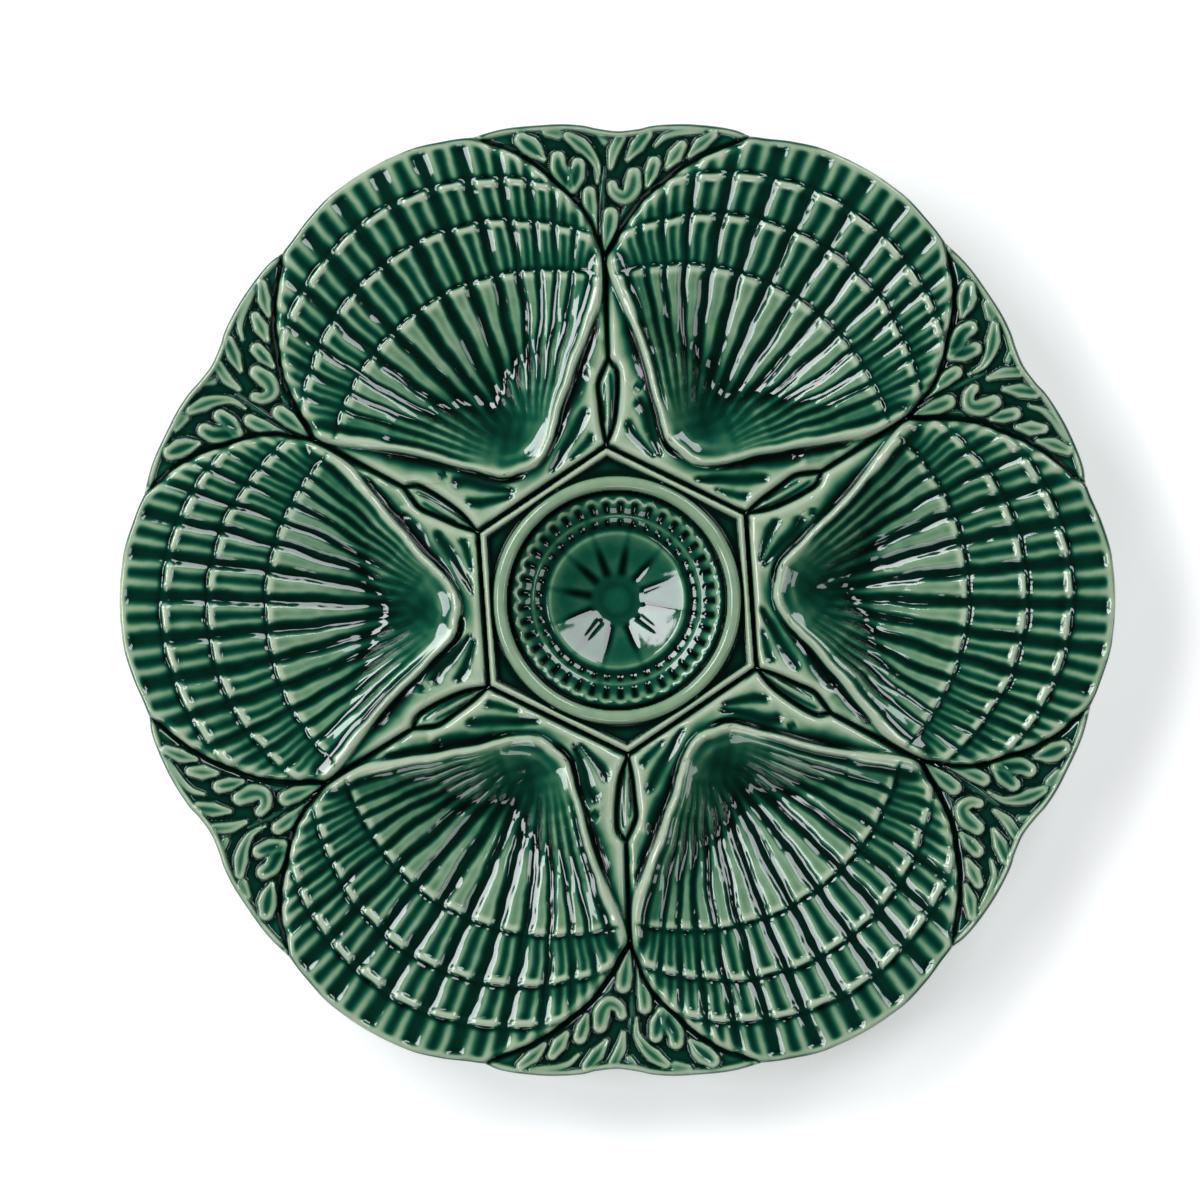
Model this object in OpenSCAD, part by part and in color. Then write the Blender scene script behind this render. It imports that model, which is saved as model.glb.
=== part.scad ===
// Oyster plate in green majolica: six scallop-shell wells round a sauce cup.
// The plate lies flat, with the bottom of its foot ring on Z = 0 and its centre on the Z axis.
// The fired body is one piece of clay. Here it is parted along the deep grooves of its own relief,
// so the shells, seaweed sprays, leaf buds, sauce collar and sauce cup meet face to face.

/* [Plate] */
// Diameter across two opposite shells
plate_d = 249; // [225:1:275]
// Height of the rim crest above the table
rim_h = 22; // [20:0.5:28]
// Thickness of the rim
rim_t = 5; // [4:0.25:6.5]
// How far the rim dips in between two shells
notch_in = 3.6; // [1:0.2:6]
// Drop from the rim crest to the outer edge
edge_drop = 1.2; // [0.4:0.1:2]

/* [Foot] */
// Outer diameter of the foot ring
foot_d = 128; // [112:1:130]
// Width of the foot ring
foot_w = 6; // [4:0.5:9]
// Height of the foot ring, which is also the height of the flat underside
foot_h = 4.5; // [3:0.25:5]
// Rounding of the foot ring's two lower edges
foot_round = 1.2; // [0.4:0.1:1.8]

/* [Shells] */
// Lowest point of an oyster well above the table
well_h = 7.6; // [7:0.2:9]
// Height of the ridges along the sides of each shell
crest_h = 20; // [18:0.25:21]
// Distance from the hexagon's side to the hinge of a shell
hinge_w = 8.4; // [6:0.2:11]
// How far a hinge sits off the middle line of its shell
hinge_skew = 1.5; // [0:0.1:3]
// Depth of the grooves between ribs
rib_depth = 2.2; // [1:0.1:2.6]
// Height of the step at each growth ring
ring_step = 0.9; // [0.3:0.1:1.2]
// Width of the rounded lip round a shell
lip_w = 2.8; // [2:0.1:4]

/* [Seaweed and leaf buds] */
// Height of the seaweed lumps above their ground
weed_rise = 2.8; // [1.5:0.1:4]
// Length of a leaf bud between two shells
leaf_len = 21.7; // [16:0.1:26]
// Height of a leaf bud above the groove round it
leaf_rise = 4; // [2:0.1:5]

/* [Sauce cup] */
// Diameter of the cup, where it meets the collar
cup_d = 54.4; // [50:0.2:57]
// Width of the collar, from the cup's wall to a corner of the hexagon
collar_w = 11.6; // [9.6:0.2:13]
// Height of the hexagonal collar above the table
collar_h = 17; // [15.5:0.25:18]
// Lowest point of the sauce cup above the table
cup_floor_h = 8.4; // [7.6:0.1:10]
// Height of the cup's beaded border
border_h = 18.4; // [17:0.1:19]
// Width of the smooth ring round the cup
ring_w = 3.8; // [3:0.1:5]
// Height of the smooth ring's crest
ring_h = 20; // [19:0.1:21]
// Diameter of a bead in the inner row
bead_d = 1.9; // [1.2:0.1:2.2]
// Number of beads in the inner row
bead_count = 37; // [24:1:40]
// Number of slots in the outer row
slot_count = 41; // [24:1:44]
// Width of a slot
slot_w = 1.4; // [0.8:0.1:2]
// Depth of a slot
slot_depth = 1.1; // [0.5:0.1:1.6]
// Number of petals on the disc in the cup
petal_count = 12; // [6:1:16]
// Width of the groove between two petals at its wide end
petal_gap = 1.7; // [0.8:0.1:2.2]
// Depth of the groove between two petals
petal_depth = 0.9; // [0.4:0.1:1.4]

/* [Hidden] */
$fn = 48;
ridge_green = "#8fae92";
glaze_green = "#2f7a55";
deep_green = "#175238";
clay_tan = "#cbb994";
overrun = 1;

// One sixth of the plate, as an angle
sector = 60;
plate_r = plate_d / 2;
cup_r = cup_d / 2;
hex_r = cup_r + collar_w;
hex_side_r = hex_r * cos(sector / 2);
hinge = [hex_side_r + hinge_w, hinge_skew];
fan_len = plate_r - hinge.x;

// Angle of the hexagon's corner, and of the groove between two shells, from a shell's middle line
corner_turn = 34;
seam_turn = 32.15;
fork_share = 0.691;
fork_r = plate_r * fork_share;
leaf_end_r = hex_r + leaf_len;

// Ribs of a shell: their angles at the hinge, half way along the fan, from one side to the other
rib_turns = [-46.8, -41.9, -37.1, -31.5, -24.9, -16.4, -7.4, 2.6, 12.4, 22.3, 31.1, 38.2, 43.4, 48.2];
side_turns = [-52.8, 54.3];
rib_top_share = 0.46;
rib_count = len(rib_turns);

// The columns of the fan: both sides, and for each rib the groove before it and its two upper edges
function rib_before(i) = i == 0 ? side_turns[0] : rib_turns[i - 1];
function rib_after(i) = i == rib_count - 1 ? side_turns[1] : rib_turns[i + 1];
function rib_half(i) = (rib_after(i) - rib_before(i)) / 4 * rib_top_share;
columns = concat(
    [[side_turns[0], false]],
    [for (i = [0:rib_count - 1], part = [0:2])
        part == 0 ? [(rib_before(i) + rib_turns[i]) / 2, true]
            : [rib_turns[i] + (part == 1 ? -rib_half(i) : rib_half(i)), false]],
    [[(rib_turns[rib_count - 1] + side_turns[1]) / 2, true], [side_turns[1], false]]);
last_col = len(columns) - 1;
// The columns that end at the two corners of the rim, where the seaweed starts
low_col = 14;
high_col = last_col - low_col;

// The rows of the fan as shares of its length, and how far each row bows at the sides
row_shares = [0, 0.042, 0.079, 0.121, 0.176, 0.243, 0.328, 0.413, 0.498, 0.550,
    0.560, 0.643, 0.723, 0.733, 0.795, 0.860, 0.870, 0.928, 0.971, 1];
bow_shares = [0, 0, 0, 0, 0, 0, 0.01, 0.03, 0.05, 0.055,
    0.055, 0, -0.042, -0.042, -0.05, -0.055, -0.055, -0.03, -0.01, 0];
last_row = len(row_shares) - 1;
// Rows that start a new growth ring, where the surface steps down
ring_rows = [10, 13, 16, last_row];
// Spacing of the rows that are packed into the lip, as a share of its width
packed_share = 0.125;

// Outer end of a fan column, by its angle: angle at the plate's centre and share of the radius
edge_shares = [[-52.8, -27.85, 0.691], [-50.1, -27, 0.722], [-47.6, -25.8, 0.768], [-44.2, -23.9, 0.809],
    [-40.6, -22, 0.841], [-37.2, -20.2, 0.874], [-33.9, -18.3, 0.906], [-30.1, -16, 0.936],
    [-28.2, -14.2, 0.953], [-26.2, -12.4, 0.974], [-17.6, -9, 0.986], [-10.4, -5, 0.997], [-1.2, 0, 1],
    [7.8, 5, 0.997], [15.2, 9, 0.986], [21.4, 12.4, 0.973], [23.6, 13.9, 0.969], [26.5, 15.4, 0.950],
    [30.1, 17.4, 0.927], [33.8, 19.5, 0.904], [37.8, 21.7, 0.874], [41.2, 23.8, 0.843],
    [45.3, 26.3, 0.807], [48.5, 28.3, 0.767], [50.7, 29.6, 0.740], [52.4, 30.5, 0.718],
    [54.3, 32.15, 0.691]];
// Angle of the two side ridges at the hinge, along the fan
low_side_shares = [[0, -80], [0.08, -74], [0.125, -67], [0.19, -59.3], [0.26, -56.3], [0.335, -54.6],
    [0.41, -54], [0.49, -53.2], [0.56, -52.5], [0.6, -51.5], [0.653, -50.8]];
high_side_shares = [[0, 100], [0.08, 92], [0.124, 78.7], [0.185, 66.8], [0.25, 61], [0.315, 57.5],
    [0.39, 55.8], [0.466, 55], [0.527, 54.8], [0.58, 54.5], [0.655, 55.2]];
half_way_share = 0.485;
// How the ribs draw in towards the middle line along the fan
bend_shares = [[0, 1.25], [0.12, 1.18], [0.2, 1.1], [0.29, 1.06], [0.39, 1.03], [0.485, 1], [0.58, 0.955],
    [0.68, 0.92], [0.78, 0.875], [0.85, 0.855], [1, 0.83]];

// Height of the well's middle line along the fan, from the lowest point to the rim
bowl_shares = [[0, 0.84], [0.042, 0.42], [0.079, 0.13], [0.121, 0.01], [0.176, 0], [0.243, 0.1],
    [0.328, 0.24], [0.413, 0.38], [0.498, 0.51], [0.555, 0.6], [0.643, 0.7], [0.728, 0.79],
    [0.8, 0.88], [0.865, 0.94], [0.93, 0.99], [1, 1]];
// Where the ribs rise out of the well
rib_fade_shares = [[0.15, 0], [0.2, 0.3], [0.32, 1]];
// Height of the groove between pieces, by share of the plate's radius:
// shares of the crest's height, and shares of the rim's rise above the crest
seam_shares = [[0.3, 0.73], [0.5, 0.73], [0.7, 0.71], [0.85, 0.76], [0.975, 0.88]];
seam_rise_shares = [[0.3, 0], [0.5, 0], [0.7, 0.5], [0.85, 1], [0.975, 1]];
// Rise of the underside from the flat to the rim, by share of the plate's radius
under_shares = [[0.6, 0], [0.69, 0.15], [0.76, 0.33], [0.84, 0.53], [0.92, 0.77], [0.975, 0.95], [1, 1]];

// Leaf bud: share of its length, and the angles of its two sides
leaf_shares = [[0, 34, 34], [0.25, 30.97, 34.94], [0.5, 30, 35.1], [0.72, 29.8, 35.1],
    [0.88, 30.2, 33.5], [1, 32.15, 32.15]];
// Places along the groove between two shells, from the leaf bud to the fork
joint_shares = [0.35, 0.55];

// Ears of a shell: place across the band outside its side ridge, and height from groove to crest
ear_shares = [[0.3, 0.85], [0.64, 0.35]];

// Seaweed lumps along the line between two shells, as shares of the plate's radius:
// distance out, distance aside, half length, half width, angle
weed_shares = [[0.764, 0.013, 0.027, 0.017, 0], [0.796, 0.055, 0.042, 0.015, 8],
    [0.852, 0.079, 0.034, 0.016, -8], [0.875, 0.117, 0.034, 0.018, 15],
    [0.916, 0.177, 0.039, 0.021, 50], [0.941, 0.133, 0.018, 0.010, 90],
    [0.916, 0.072, 0.040, 0.013, 60], [0.900, 0.006, 0.034, 0.011, -15],
    [0.912, -0.039, 0.034, 0.013, -38], [0.820, 0.000, 0.024, 0.016, 25],
    [0.844, -0.031, 0.031, 0.018, -15], [0.867, -0.071, 0.031, 0.016, -12],
    [0.896, -0.118, 0.032, 0.014, -33], [0.916, -0.169, 0.036, 0.013, -52],
    [0.936, -0.113, 0.048, 0.008, -85]];
weed_cols = 20;
// Shape of the dip in the rim between two shells
notch_shares = [[0, 0], [0.06, -0.15], [0.21, 0.03], [0.27, 0.17], [0.36, 0.53], [0.40, 0.8], [0.478, 1],
    [0.552, 0.8], [0.60, 0.53], [0.685, 0.17], [0.745, 0.03], [0.91, -0.15], [1, 0]];

// Profile of the cup's inside, from the border to the middle: share of its radius, share of its depth
cup_shares = [[1, 0.86], [0.965, 1], [0.93, 0.93], [0.79, 0.63], [0.755, 0.56], [0.69, 0.43],
    [0.66, 0.41], [0.638, 0.5], [0.6, 0.5], [0.26, 0.2], [0.22, 0.24], [0.18, 0.19], [0.13, 0.06], [0, 0]];
bead_ring_shares = [0.742, 0.57];
slot_ring_shares = [[0.79, 0.63], [0.93, 0.93]];
petal_ring_shares = [[0.26, 0.2], [0.63, 0.51]];
// Turn of the first petal groove as a share of the turn between two, and its width at the narrow end
petal_turn_share = 0.7;
petal_tip_share = 0.25;

function mix(a, b, t) = a + (b - a) * t;
function within(v, low, high) = max(low, min(high, v));
function smooth(t) = t * t * (3 - 2 * t);
function polar(r, a) = [r * cos(a), r * sin(a)];
function turned(p, a) = [p.x * cos(a) - p.y * sin(a), p.x * sin(a) + p.y * cos(a)];
function edge_turns() = [for (e = edge_shares) [e[0], e[1]]];
function edge_reaches() = [for (e = edge_shares) [e[0], e[2]]];

// Outer end of a fan column
function edge_at(c) = polar(plate_r * lookup(columns[c][0], edge_reaches()),
    lookup(columns[c][0], edge_turns()));
edge = [for (c = [0:last_col]) edge_at(c)];
edge_far = [for (p = edge) norm(p - hinge)];
edge_turn = [for (p = edge) atan2(p.y - hinge.y, p.x - hinge.x)];

// Place of a column between the two side ridges, from -1 to 1
function spread(c) = columns[c][0] < 0 ? -columns[c][0] / side_turns[0] : columns[c][0] / side_turns[1];
function side_widening(c, share) = spread(c) < 0
    ? lookup(share, low_side_shares) / lookup(half_way_share, low_side_shares)
    : lookup(share, high_side_shares) / lookup(half_way_share, high_side_shares);
function free_turn(c, d) = columns[c][0] * mix(lookup(d / fan_len, bend_shares),
    side_widening(c, d / fan_len), pow(spread(c), 4));
function column_turn(c, d) = free_turn(c, d)
    + (edge_turn[c] - free_turn(c, edge_far[c])) * pow(d / edge_far[c], 4);

// Distance of a fan point from the hinge: rows that pass the shell's edge are packed into its lip
function fan_far(c, j) = min(row_shares[j] * fan_len * (1 + bow_shares[j] * pow(spread(c), 2)),
    edge_far[c] - (last_row - j) * lip_w * packed_share);

// Height of the groove at a distance from the plate's centre, and of the underside there
function seam_z(r) = crest_h * lookup(r / plate_r, seam_shares)
    + (rim_h - crest_h) * lookup(r / plate_r, seam_rise_shares);
function under_z(r) = foot_h + (rim_h - rim_t - foot_h) * lookup(r / plate_r, under_shares);

// Share of a growth ring's length that a row has covered
function ring_start(j) = max([for (r = ring_rows) if (r <= j) r]);
function ring_next(j) = min([for (r = ring_rows) if (r > j) r]);
function ring_part(j) = j < ring_rows[0] || j == last_row ? 1
    : (row_shares[j] - row_shares[ring_start(j)])
        / (row_shares[ring_next(j) - 1] - row_shares[ring_start(j)]);

// Height of the shell before its lip
function bowl_z(share) = mix(well_h, rim_h, lookup(share, bowl_shares));
function dished_z(c, d) = bowl_z(d / fan_len)
    + max(0, crest_h - bowl_z(d / fan_len)) * pow(abs(spread(c)), 3);
function ribbed_z(c, j, d) = dished_z(c, d)
    - (columns[c][1] ? rib_depth * lookup(d / fan_len, rib_fade_shares) : 0)
    - (abs(spread(c)) < 1 ? ring_step * (1 - ring_part(j)) : 0);
function edge_z(c) = c > low_col && c < high_col ? rim_h - edge_drop : seam_z(norm(edge[c]));
function fan_z(c, j, d) = mix(edge_z(c), ribbed_z(c, j, d),
    smooth(within((edge_far[c] - d) / (lip_w / 2), 0, 1)));
function fan_point(c, j, d) = concat(hinge + polar(d, column_turn(c, d)), [fan_z(c, j, d)]);

// Outside of the ears: from the middle of the hexagon's side out to the fork.
// Negative places run along the lower side of the shell, positive ones along the upper side.
corner_row = 3;
leaf_rows = len(leaf_shares) - 1;
tip_row = corner_row + leaf_rows;
packed_row = tip_row + len(joint_shares) + 1;
function joint_r(j) = j >= packed_row ? fork_r - (last_row - j) * lip_w * packed_share
    : mix(leaf_end_r, fork_r, joint_shares[j - tip_row - 1]);
function leaf_r(i) = hex_r + leaf_len * leaf_shares[i][0];
function hex_mid() = (polar(hex_r, corner_turn) + polar(hex_r, corner_turn - sector)) / 2;
function outside(m) =
    abs(m) <= corner_row ? mix(hex_mid(), polar(hex_r, m > 0 ? corner_turn : corner_turn - sector),
        abs(m) / corner_row)
    : abs(m) <= tip_row ? (m > 0 ? polar(leaf_r(m - corner_row), leaf_shares[m - corner_row][1])
        : polar(leaf_r(-m - corner_row), leaf_shares[-m - corner_row][2] - sector))
    : polar(joint_r(abs(m)), m > 0 ? seam_turn : seam_turn - sector);

// The triangles of a four-sided face, of a wall under a loop, and of the floor inside a loop
function two_triangles(a, b, c, d) = [[a, b, c], [a, c, d]];
function wall_faces(top, low) = [for (i = [0:len(top) - 1])
    let (n = (i + 1) % len(top))
        each two_triangles(top[i], top[n], low[n], low[i])];
function floor_faces(low) = let (n = len(low)) [for (i = [0:floor(n / 2) - 1])
    each i == 0 ? [[low[0], low[1], low[n - 1]]]
        : i == n / 2 - 1 ? [[low[i], low[i + 1], low[i + 2]]]
        : two_triangles(low[i], low[i + 1], low[n - i - 1], low[n - i])];
// A face with two like corners has no area and is left out
function real_faces(faces) = [for (f = faces) if (f[0] != f[1] && f[1] != f[2] && f[2] != f[0]) f];

// Points of a shell: the fan, then the band of the ears, then the underside of its outline
ear_cols = len(ear_shares) + 1;
fan_ends = [for (c = [0:last_col]) [for (j = [1:last_row]) fan_far(c, j)]];
fan_points = [for (j = [1:last_row], c = [0:last_col]) fan_point(c, j, fan_ends[c][j - 1])];
hinge_point = concat(hinge, [bowl_z(0)]);
hinge_at = len(fan_points);
function fan_at(c, j) = (j - 1) * (last_col + 1) + c;
function ridge_at(m) = m == 0 ? hinge_at : fan_at(m < 0 ? 0 : last_col, abs(m));
function ridge_point(m) = m == 0 ? hinge_point : fan_points[ridge_at(m)];
function ear_point(m, q) =
    let (p = outside(m), ridge = ridge_point(m), low = seam_z(norm(p)))
    let (foot = [ridge.x, ridge.y], dished = within(norm(foot - p) / hinge_w, 0, 1))
        q == 0 ? concat(p, [low])
        : let (across = ear_shares[q - 1][0], rise = mix(across, ear_shares[q - 1][1], dished))
            concat(mix(p, foot, across), [mix(low, ridge.z, rise)]);
ear_reach = last_row - 1;
ear_points = [for (m = [-ear_reach:ear_reach], q = [0:ear_cols - 1]) ear_point(m, q)];
function ear_at(m, q) = q == ear_cols || abs(m) == last_row ? ridge_at(m)
    : hinge_at + 1 + (m + ear_reach) * ear_cols + q;
shell_loop = concat([for (m = [0:-1:-ear_reach]) ear_at(m, 0)],
    [for (c = [0:last_col]) fan_at(c, last_row)],
    [for (m = [ear_reach:-1:1]) ear_at(m, 0)]);
shell_top = concat(fan_points, [hinge_point], ear_points);
function dropped(points, loop) = [for (i = loop)
    [points[i].x, points[i].y, under_z(norm([points[i].x, points[i].y]))]];
shell_points = concat(shell_top, dropped(shell_top, shell_loop));
shell_floor_loop = [for (i = [0:len(shell_loop) - 1]) len(shell_top) + i];
shell_faces = real_faces(concat(
    [for (c = [0:last_col - 1]) [hinge_at, fan_at(c + 1, 1), fan_at(c, 1)]],
    [for (j = [1:last_row - 1], c = [0:last_col - 1])
        each two_triangles(fan_at(c, j), fan_at(c + 1, j), fan_at(c + 1, j + 1), fan_at(c, j + 1))],
    [for (m = [-last_row:last_row - 1], q = [0:ear_cols - 1])
        each two_triangles(ear_at(m, q), ear_at(m + 1, q), ear_at(m + 1, q + 1), ear_at(m, q + 1))],
    wall_faces(shell_loop, shell_floor_loop), floor_faces(shell_floor_loop)));

// Seaweed between the upper side of one shell and the lower side of the next
function weed_low(i) = edge[last_col - i];
function weed_high(i) = turned(edge[i], sector);
function angle_of(p) = atan2(p.y, p.x);
function weed_plan(i, f) = polar(mix(norm(weed_low(i)), norm(weed_high(i)), f)
    - notch_in * lookup(f, notch_shares) * pow(i / low_col, 2),
    mix(angle_of(weed_low(i)), angle_of(weed_high(i)), f));
// Height share of one lump at a point: a dome over an ellipse
function lump(p, w) =
    let (v = turned(p - [w[0], w[1]] * plate_r, -w[4]))
    let (q = pow(v.x / (w[2] * plate_r), 2) + pow(v.y / (w[3] * plate_r), 2))
        q < 1 ? sqrt(1 - q) : 0;
function lumps(p) = max([for (w = weed_shares) lump(turned(p, -sector / 2), w)]);
function weed_z(i, q, p) = i == low_col ? mix(seam_z(norm(p)), rim_h - edge_drop,
        smooth(within(min(q, weed_cols - q) / 2, 0, 1)))
    : seam_z(norm(p)) + (q == 0 || q == weed_cols ? 0 : weed_rise * lumps(p));
function weed_point(i, q) = let (p = weed_plan(i, q / weed_cols)) concat(p, [weed_z(i, q, p)]);
weed_top = concat([concat(edge[last_col], [seam_z(fork_r)])],
    [for (i = [1:low_col], q = [0:weed_cols]) weed_point(i, q)]);
function weed_at(i, q) = i == 0 ? 0 : 1 + (i - 1) * (weed_cols + 1) + q;
weed_loop = concat([for (i = [0:low_col]) weed_at(i, 0)],
    [for (q = [1:weed_cols]) weed_at(low_col, q)],
    [for (i = [low_col - 1:-1:1]) weed_at(i, weed_cols)]);
weed_floor_loop = [for (i = [0:len(weed_loop) - 1]) len(weed_top) + i];
weed_points = concat(weed_top, dropped(weed_top, weed_loop));
weed_faces = real_faces(concat(
    [for (i = [0:low_col - 1], q = [0:weed_cols - 1])
        each two_triangles(weed_at(i, q), weed_at(i, q + 1), weed_at(i + 1, q + 1), weed_at(i + 1, q))],
    wall_faces(weed_loop, weed_floor_loop), floor_faces(weed_floor_loop)));

// Leaf bud: an almond between the ears of two shells
leaf_cols = 4;
// Height of the bud's two flanks against a plain arch
flank_share = 0.95;
function leaf_arch(q) = sin(180 * q / leaf_cols) * (q == leaf_cols / 2 ? 1 : flank_share);
function leaf_point(i, q) =
    let (low = polar(leaf_r(i), leaf_shares[i][1]), high = polar(leaf_r(i), leaf_shares[i][2]))
    let (p = mix(low, high, q / leaf_cols))
        concat(p, [seam_z(norm(p)) + leaf_rise * leaf_arch(q)]);
leaf_top = concat([concat(polar(leaf_r(0), corner_turn), [seam_z(hex_r)])],
    [for (i = [1:leaf_rows - 1], q = [0:leaf_cols]) leaf_point(i, q)],
    [concat(polar(leaf_end_r, seam_turn), [seam_z(leaf_end_r)])]);
function leaf_at(i, q) = i == 0 ? 0
    : i == leaf_rows ? len(leaf_top) - 1
    : 1 + (i - 1) * (leaf_cols + 1) + q;
leaf_loop = concat([for (i = [0:leaf_rows]) leaf_at(i, 0)],
    [for (i = [leaf_rows - 1:-1:1]) leaf_at(i, leaf_cols)]);
leaf_floor_loop = [for (i = [0:len(leaf_loop) - 1]) len(leaf_top) + i];
leaf_points = concat(leaf_top, dropped(leaf_top, leaf_loop));
leaf_faces = real_faces(concat(
    [for (i = [0:leaf_rows - 1], q = [0:leaf_cols - 1])
        each two_triangles(leaf_at(i, q), leaf_at(i, q + 1), leaf_at(i + 1, q + 1), leaf_at(i + 1, q))],
    wall_faces(leaf_loop, leaf_floor_loop), floor_faces(leaf_floor_loop)));

module shell(k) {
    color(glaze_green) rotate([0, 0, sector * (k - 1)]) polyhedron(shell_points, shell_faces);
}

module seaweed(k) {
    color(deep_green) rotate([0, 0, sector * (k - 1)]) polyhedron(weed_points, weed_faces);
}

module leaf_bud(k) {
    color(ridge_green) rotate([0, 0, sector * (k - 1)]) polyhedron(leaf_points, leaf_faces);
}

// Hexagonal collar with the smooth ring that frames the cup
ring_mid_r = cup_r + ring_w / 2;
module sauce_collar() {
    color(deep_green) {
        difference() {
            translate([0, 0, foot_h]) rotate([0, 0, corner_turn])
                cylinder(h = collar_h - foot_h, r = hex_r, $fn = 6);
            translate([0, 0, foot_h - overrun])
                cylinder(h = collar_h - foot_h + 2 * overrun, r = cup_r);
        }
        rotate_extrude() difference() {
            translate([ring_mid_r, ring_h - ring_w / 2]) circle(d = ring_w);
            translate([ring_mid_r - ring_w, collar_h - ring_w]) square([2 * ring_w, ring_w]);
        }
    }
}

// Cup: a turned bowl with a beaded border, and a disc of petals in its middle
cup_depth = border_h - cup_floor_h;
function cup_at(share) = [cup_r * share[0], cup_floor_h + cup_depth * share[1]];
cup_profile = concat([for (s = cup_shares) cup_at(s)], [[0, foot_h], [cup_r, foot_h]]);
function rise_of(pair) = let (d = cup_at(pair[1]) - cup_at(pair[0])) atan2(d.y, d.x);
function run_of(pair) = norm(cup_at(pair[1]) - cup_at(pair[0]));

module slots() {
    start = cup_at(slot_ring_shares[0]);
    for (i = [0:slot_count - 1]) rotate([0, 0, 360 * i / slot_count])
        translate([start.x, 0, start.y]) rotate([0, -rise_of(slot_ring_shares), 0])
            translate([0, -slot_w / 2, -slot_depth])
                cube([run_of(slot_ring_shares), slot_w, 2 * slot_depth]);
}

module petal_grooves() {
    start = cup_at(petal_ring_shares[0]);
    run = run_of(petal_ring_shares);
    half = petal_gap / 2;
    tip = half * petal_tip_share;
    for (i = [0:petal_count - 1]) rotate([0, 0, 360 * (i + petal_turn_share) / petal_count])
        translate([start.x, 0, start.y]) rotate([0, -rise_of(petal_ring_shares), 0])
            translate([0, 0, -petal_depth]) linear_extrude(height = 2 * petal_depth)
                polygon([[0, -half], [run, -tip], [run, tip], [0, half]]);
}

module sauce_cup() {
    bead = cup_at(bead_ring_shares);
    color(glaze_green) {
        difference() {
            rotate_extrude() polygon(cup_profile);
            slots();
            petal_grooves();
        }
        for (i = [0:bead_count - 1]) rotate([0, 0, 360 * i / bead_count])
            translate([bead.x, 0, bead.y]) sphere(d = bead_d);
    }
}

// Foot ring under the flat of the shells, with rounded lower edges
module foot_ring() {
    color(clay_tan) rotate_extrude() translate([foot_d / 2 - foot_w, 0]) union() {
        translate([0, foot_round]) square([foot_w, foot_h - foot_round]);
        translate([foot_round, 0]) square([foot_w - 2 * foot_round, foot_round]);
        translate([foot_round, foot_round]) circle(r = foot_round);
        translate([foot_w - foot_round, foot_round]) circle(r = foot_round);
    }
}

shell(1);  // shell_1
shell(2);  // shell_2
shell(3);  // shell_3
shell(4);  // shell_4
shell(5);  // shell_5
shell(6);  // shell_6
seaweed(1);  // seaweed_1
seaweed(2);  // seaweed_2
seaweed(3);  // seaweed_3
seaweed(4);  // seaweed_4
seaweed(5);  // seaweed_5
seaweed(6);  // seaweed_6
leaf_bud(1);  // leaf_bud_1
leaf_bud(2);  // leaf_bud_2
leaf_bud(3);  // leaf_bud_3
leaf_bud(4);  // leaf_bud_4
leaf_bud(5);  // leaf_bud_5
leaf_bud(6);  // leaf_bud_6
sauce_collar();
sauce_cup();
foot_ring();
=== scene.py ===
"""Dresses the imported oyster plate: six scallop shells, seaweed, leaf buds, collar, cup and foot.

Every piece is pressed from a blank. A blank is a fine closed disc, made by one spin, and pressing
moves its vertices: over the piece's outline in plan, up to the carved relief on top and down to the
turned underside. All the plan sizes are in millimetres from the middle of the plate.
"""
import logging
import math
from dataclasses import dataclass
from enum import Enum
from typing import ClassVar

import bmesh
import bpy
import numpy as np
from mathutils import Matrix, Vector


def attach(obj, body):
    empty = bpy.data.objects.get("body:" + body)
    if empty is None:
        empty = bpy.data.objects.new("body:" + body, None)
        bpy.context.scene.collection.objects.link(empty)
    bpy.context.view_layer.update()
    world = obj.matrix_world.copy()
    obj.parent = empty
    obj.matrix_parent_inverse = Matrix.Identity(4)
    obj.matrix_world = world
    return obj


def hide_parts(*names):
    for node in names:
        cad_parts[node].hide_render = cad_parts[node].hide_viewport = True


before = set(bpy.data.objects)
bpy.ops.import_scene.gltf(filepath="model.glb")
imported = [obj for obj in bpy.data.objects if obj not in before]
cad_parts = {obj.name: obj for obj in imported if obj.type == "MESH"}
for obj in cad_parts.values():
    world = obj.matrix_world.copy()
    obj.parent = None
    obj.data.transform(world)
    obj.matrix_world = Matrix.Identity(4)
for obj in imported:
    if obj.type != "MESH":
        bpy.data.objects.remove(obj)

Pair = tuple[float, float]
# A path's points, or a curve's knots
Points = tuple[tuple[float, ...], ...]
# x and y of many points
Places = tuple[np.ndarray, np.ndarray]
# Height of many points above the table, and the glaze that gathers there, with painted shade in the shell's
# grooves and a painted highlight on the cup's band
Carving = tuple[np.ndarray, np.ndarray]
# Places on a scale, and the colour at each
Stops = tuple[tuple[float, tuple[float, float, float]], ...]
MM = 0.001
FAR = 1e9
TINY = 1e-9
MERGE_WITHIN = 1e-7
# How far before a grid's end the last place lies that can still be read between two lines
GRID_END = 1.001
GLAZE_AND_SHADE = "glaze_and_painted_shade"
SECTOR = 60.0
SHELLS = 6
# How the carver's hand wanders: size in millimetres, turns along both directions, start
HAND_WAVES = ((0.14, 0.42, 0.25, 0.4), (0.10, -0.31, 0.55, 2.1), (0.04, 1.0, -0.8, 4.4),
              (0.03, 1.3, 1.5, 1.2))
log = logging.getLogger("oyster_plate")


class Finish(Enum):
    """What the surface of a piece is."""

    MAJOLICA = "majolica_glaze"
    BISQUE = "bare_earthenware"


# Curves and soft steps


def smooth_step(value: np.ndarray) -> np.ndarray:
    """Returns 0 below 0, 1 above 1 and a soft rise between."""
    t = np.clip(value, 0.0, 1.0)
    return t * t * (3.0 - 2.0 * t)


def bump(value: np.ndarray) -> np.ndarray:
    """Returns a bell that is 1 at 0 and nearly 0 at 2."""
    return np.exp(-value * value)


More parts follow.
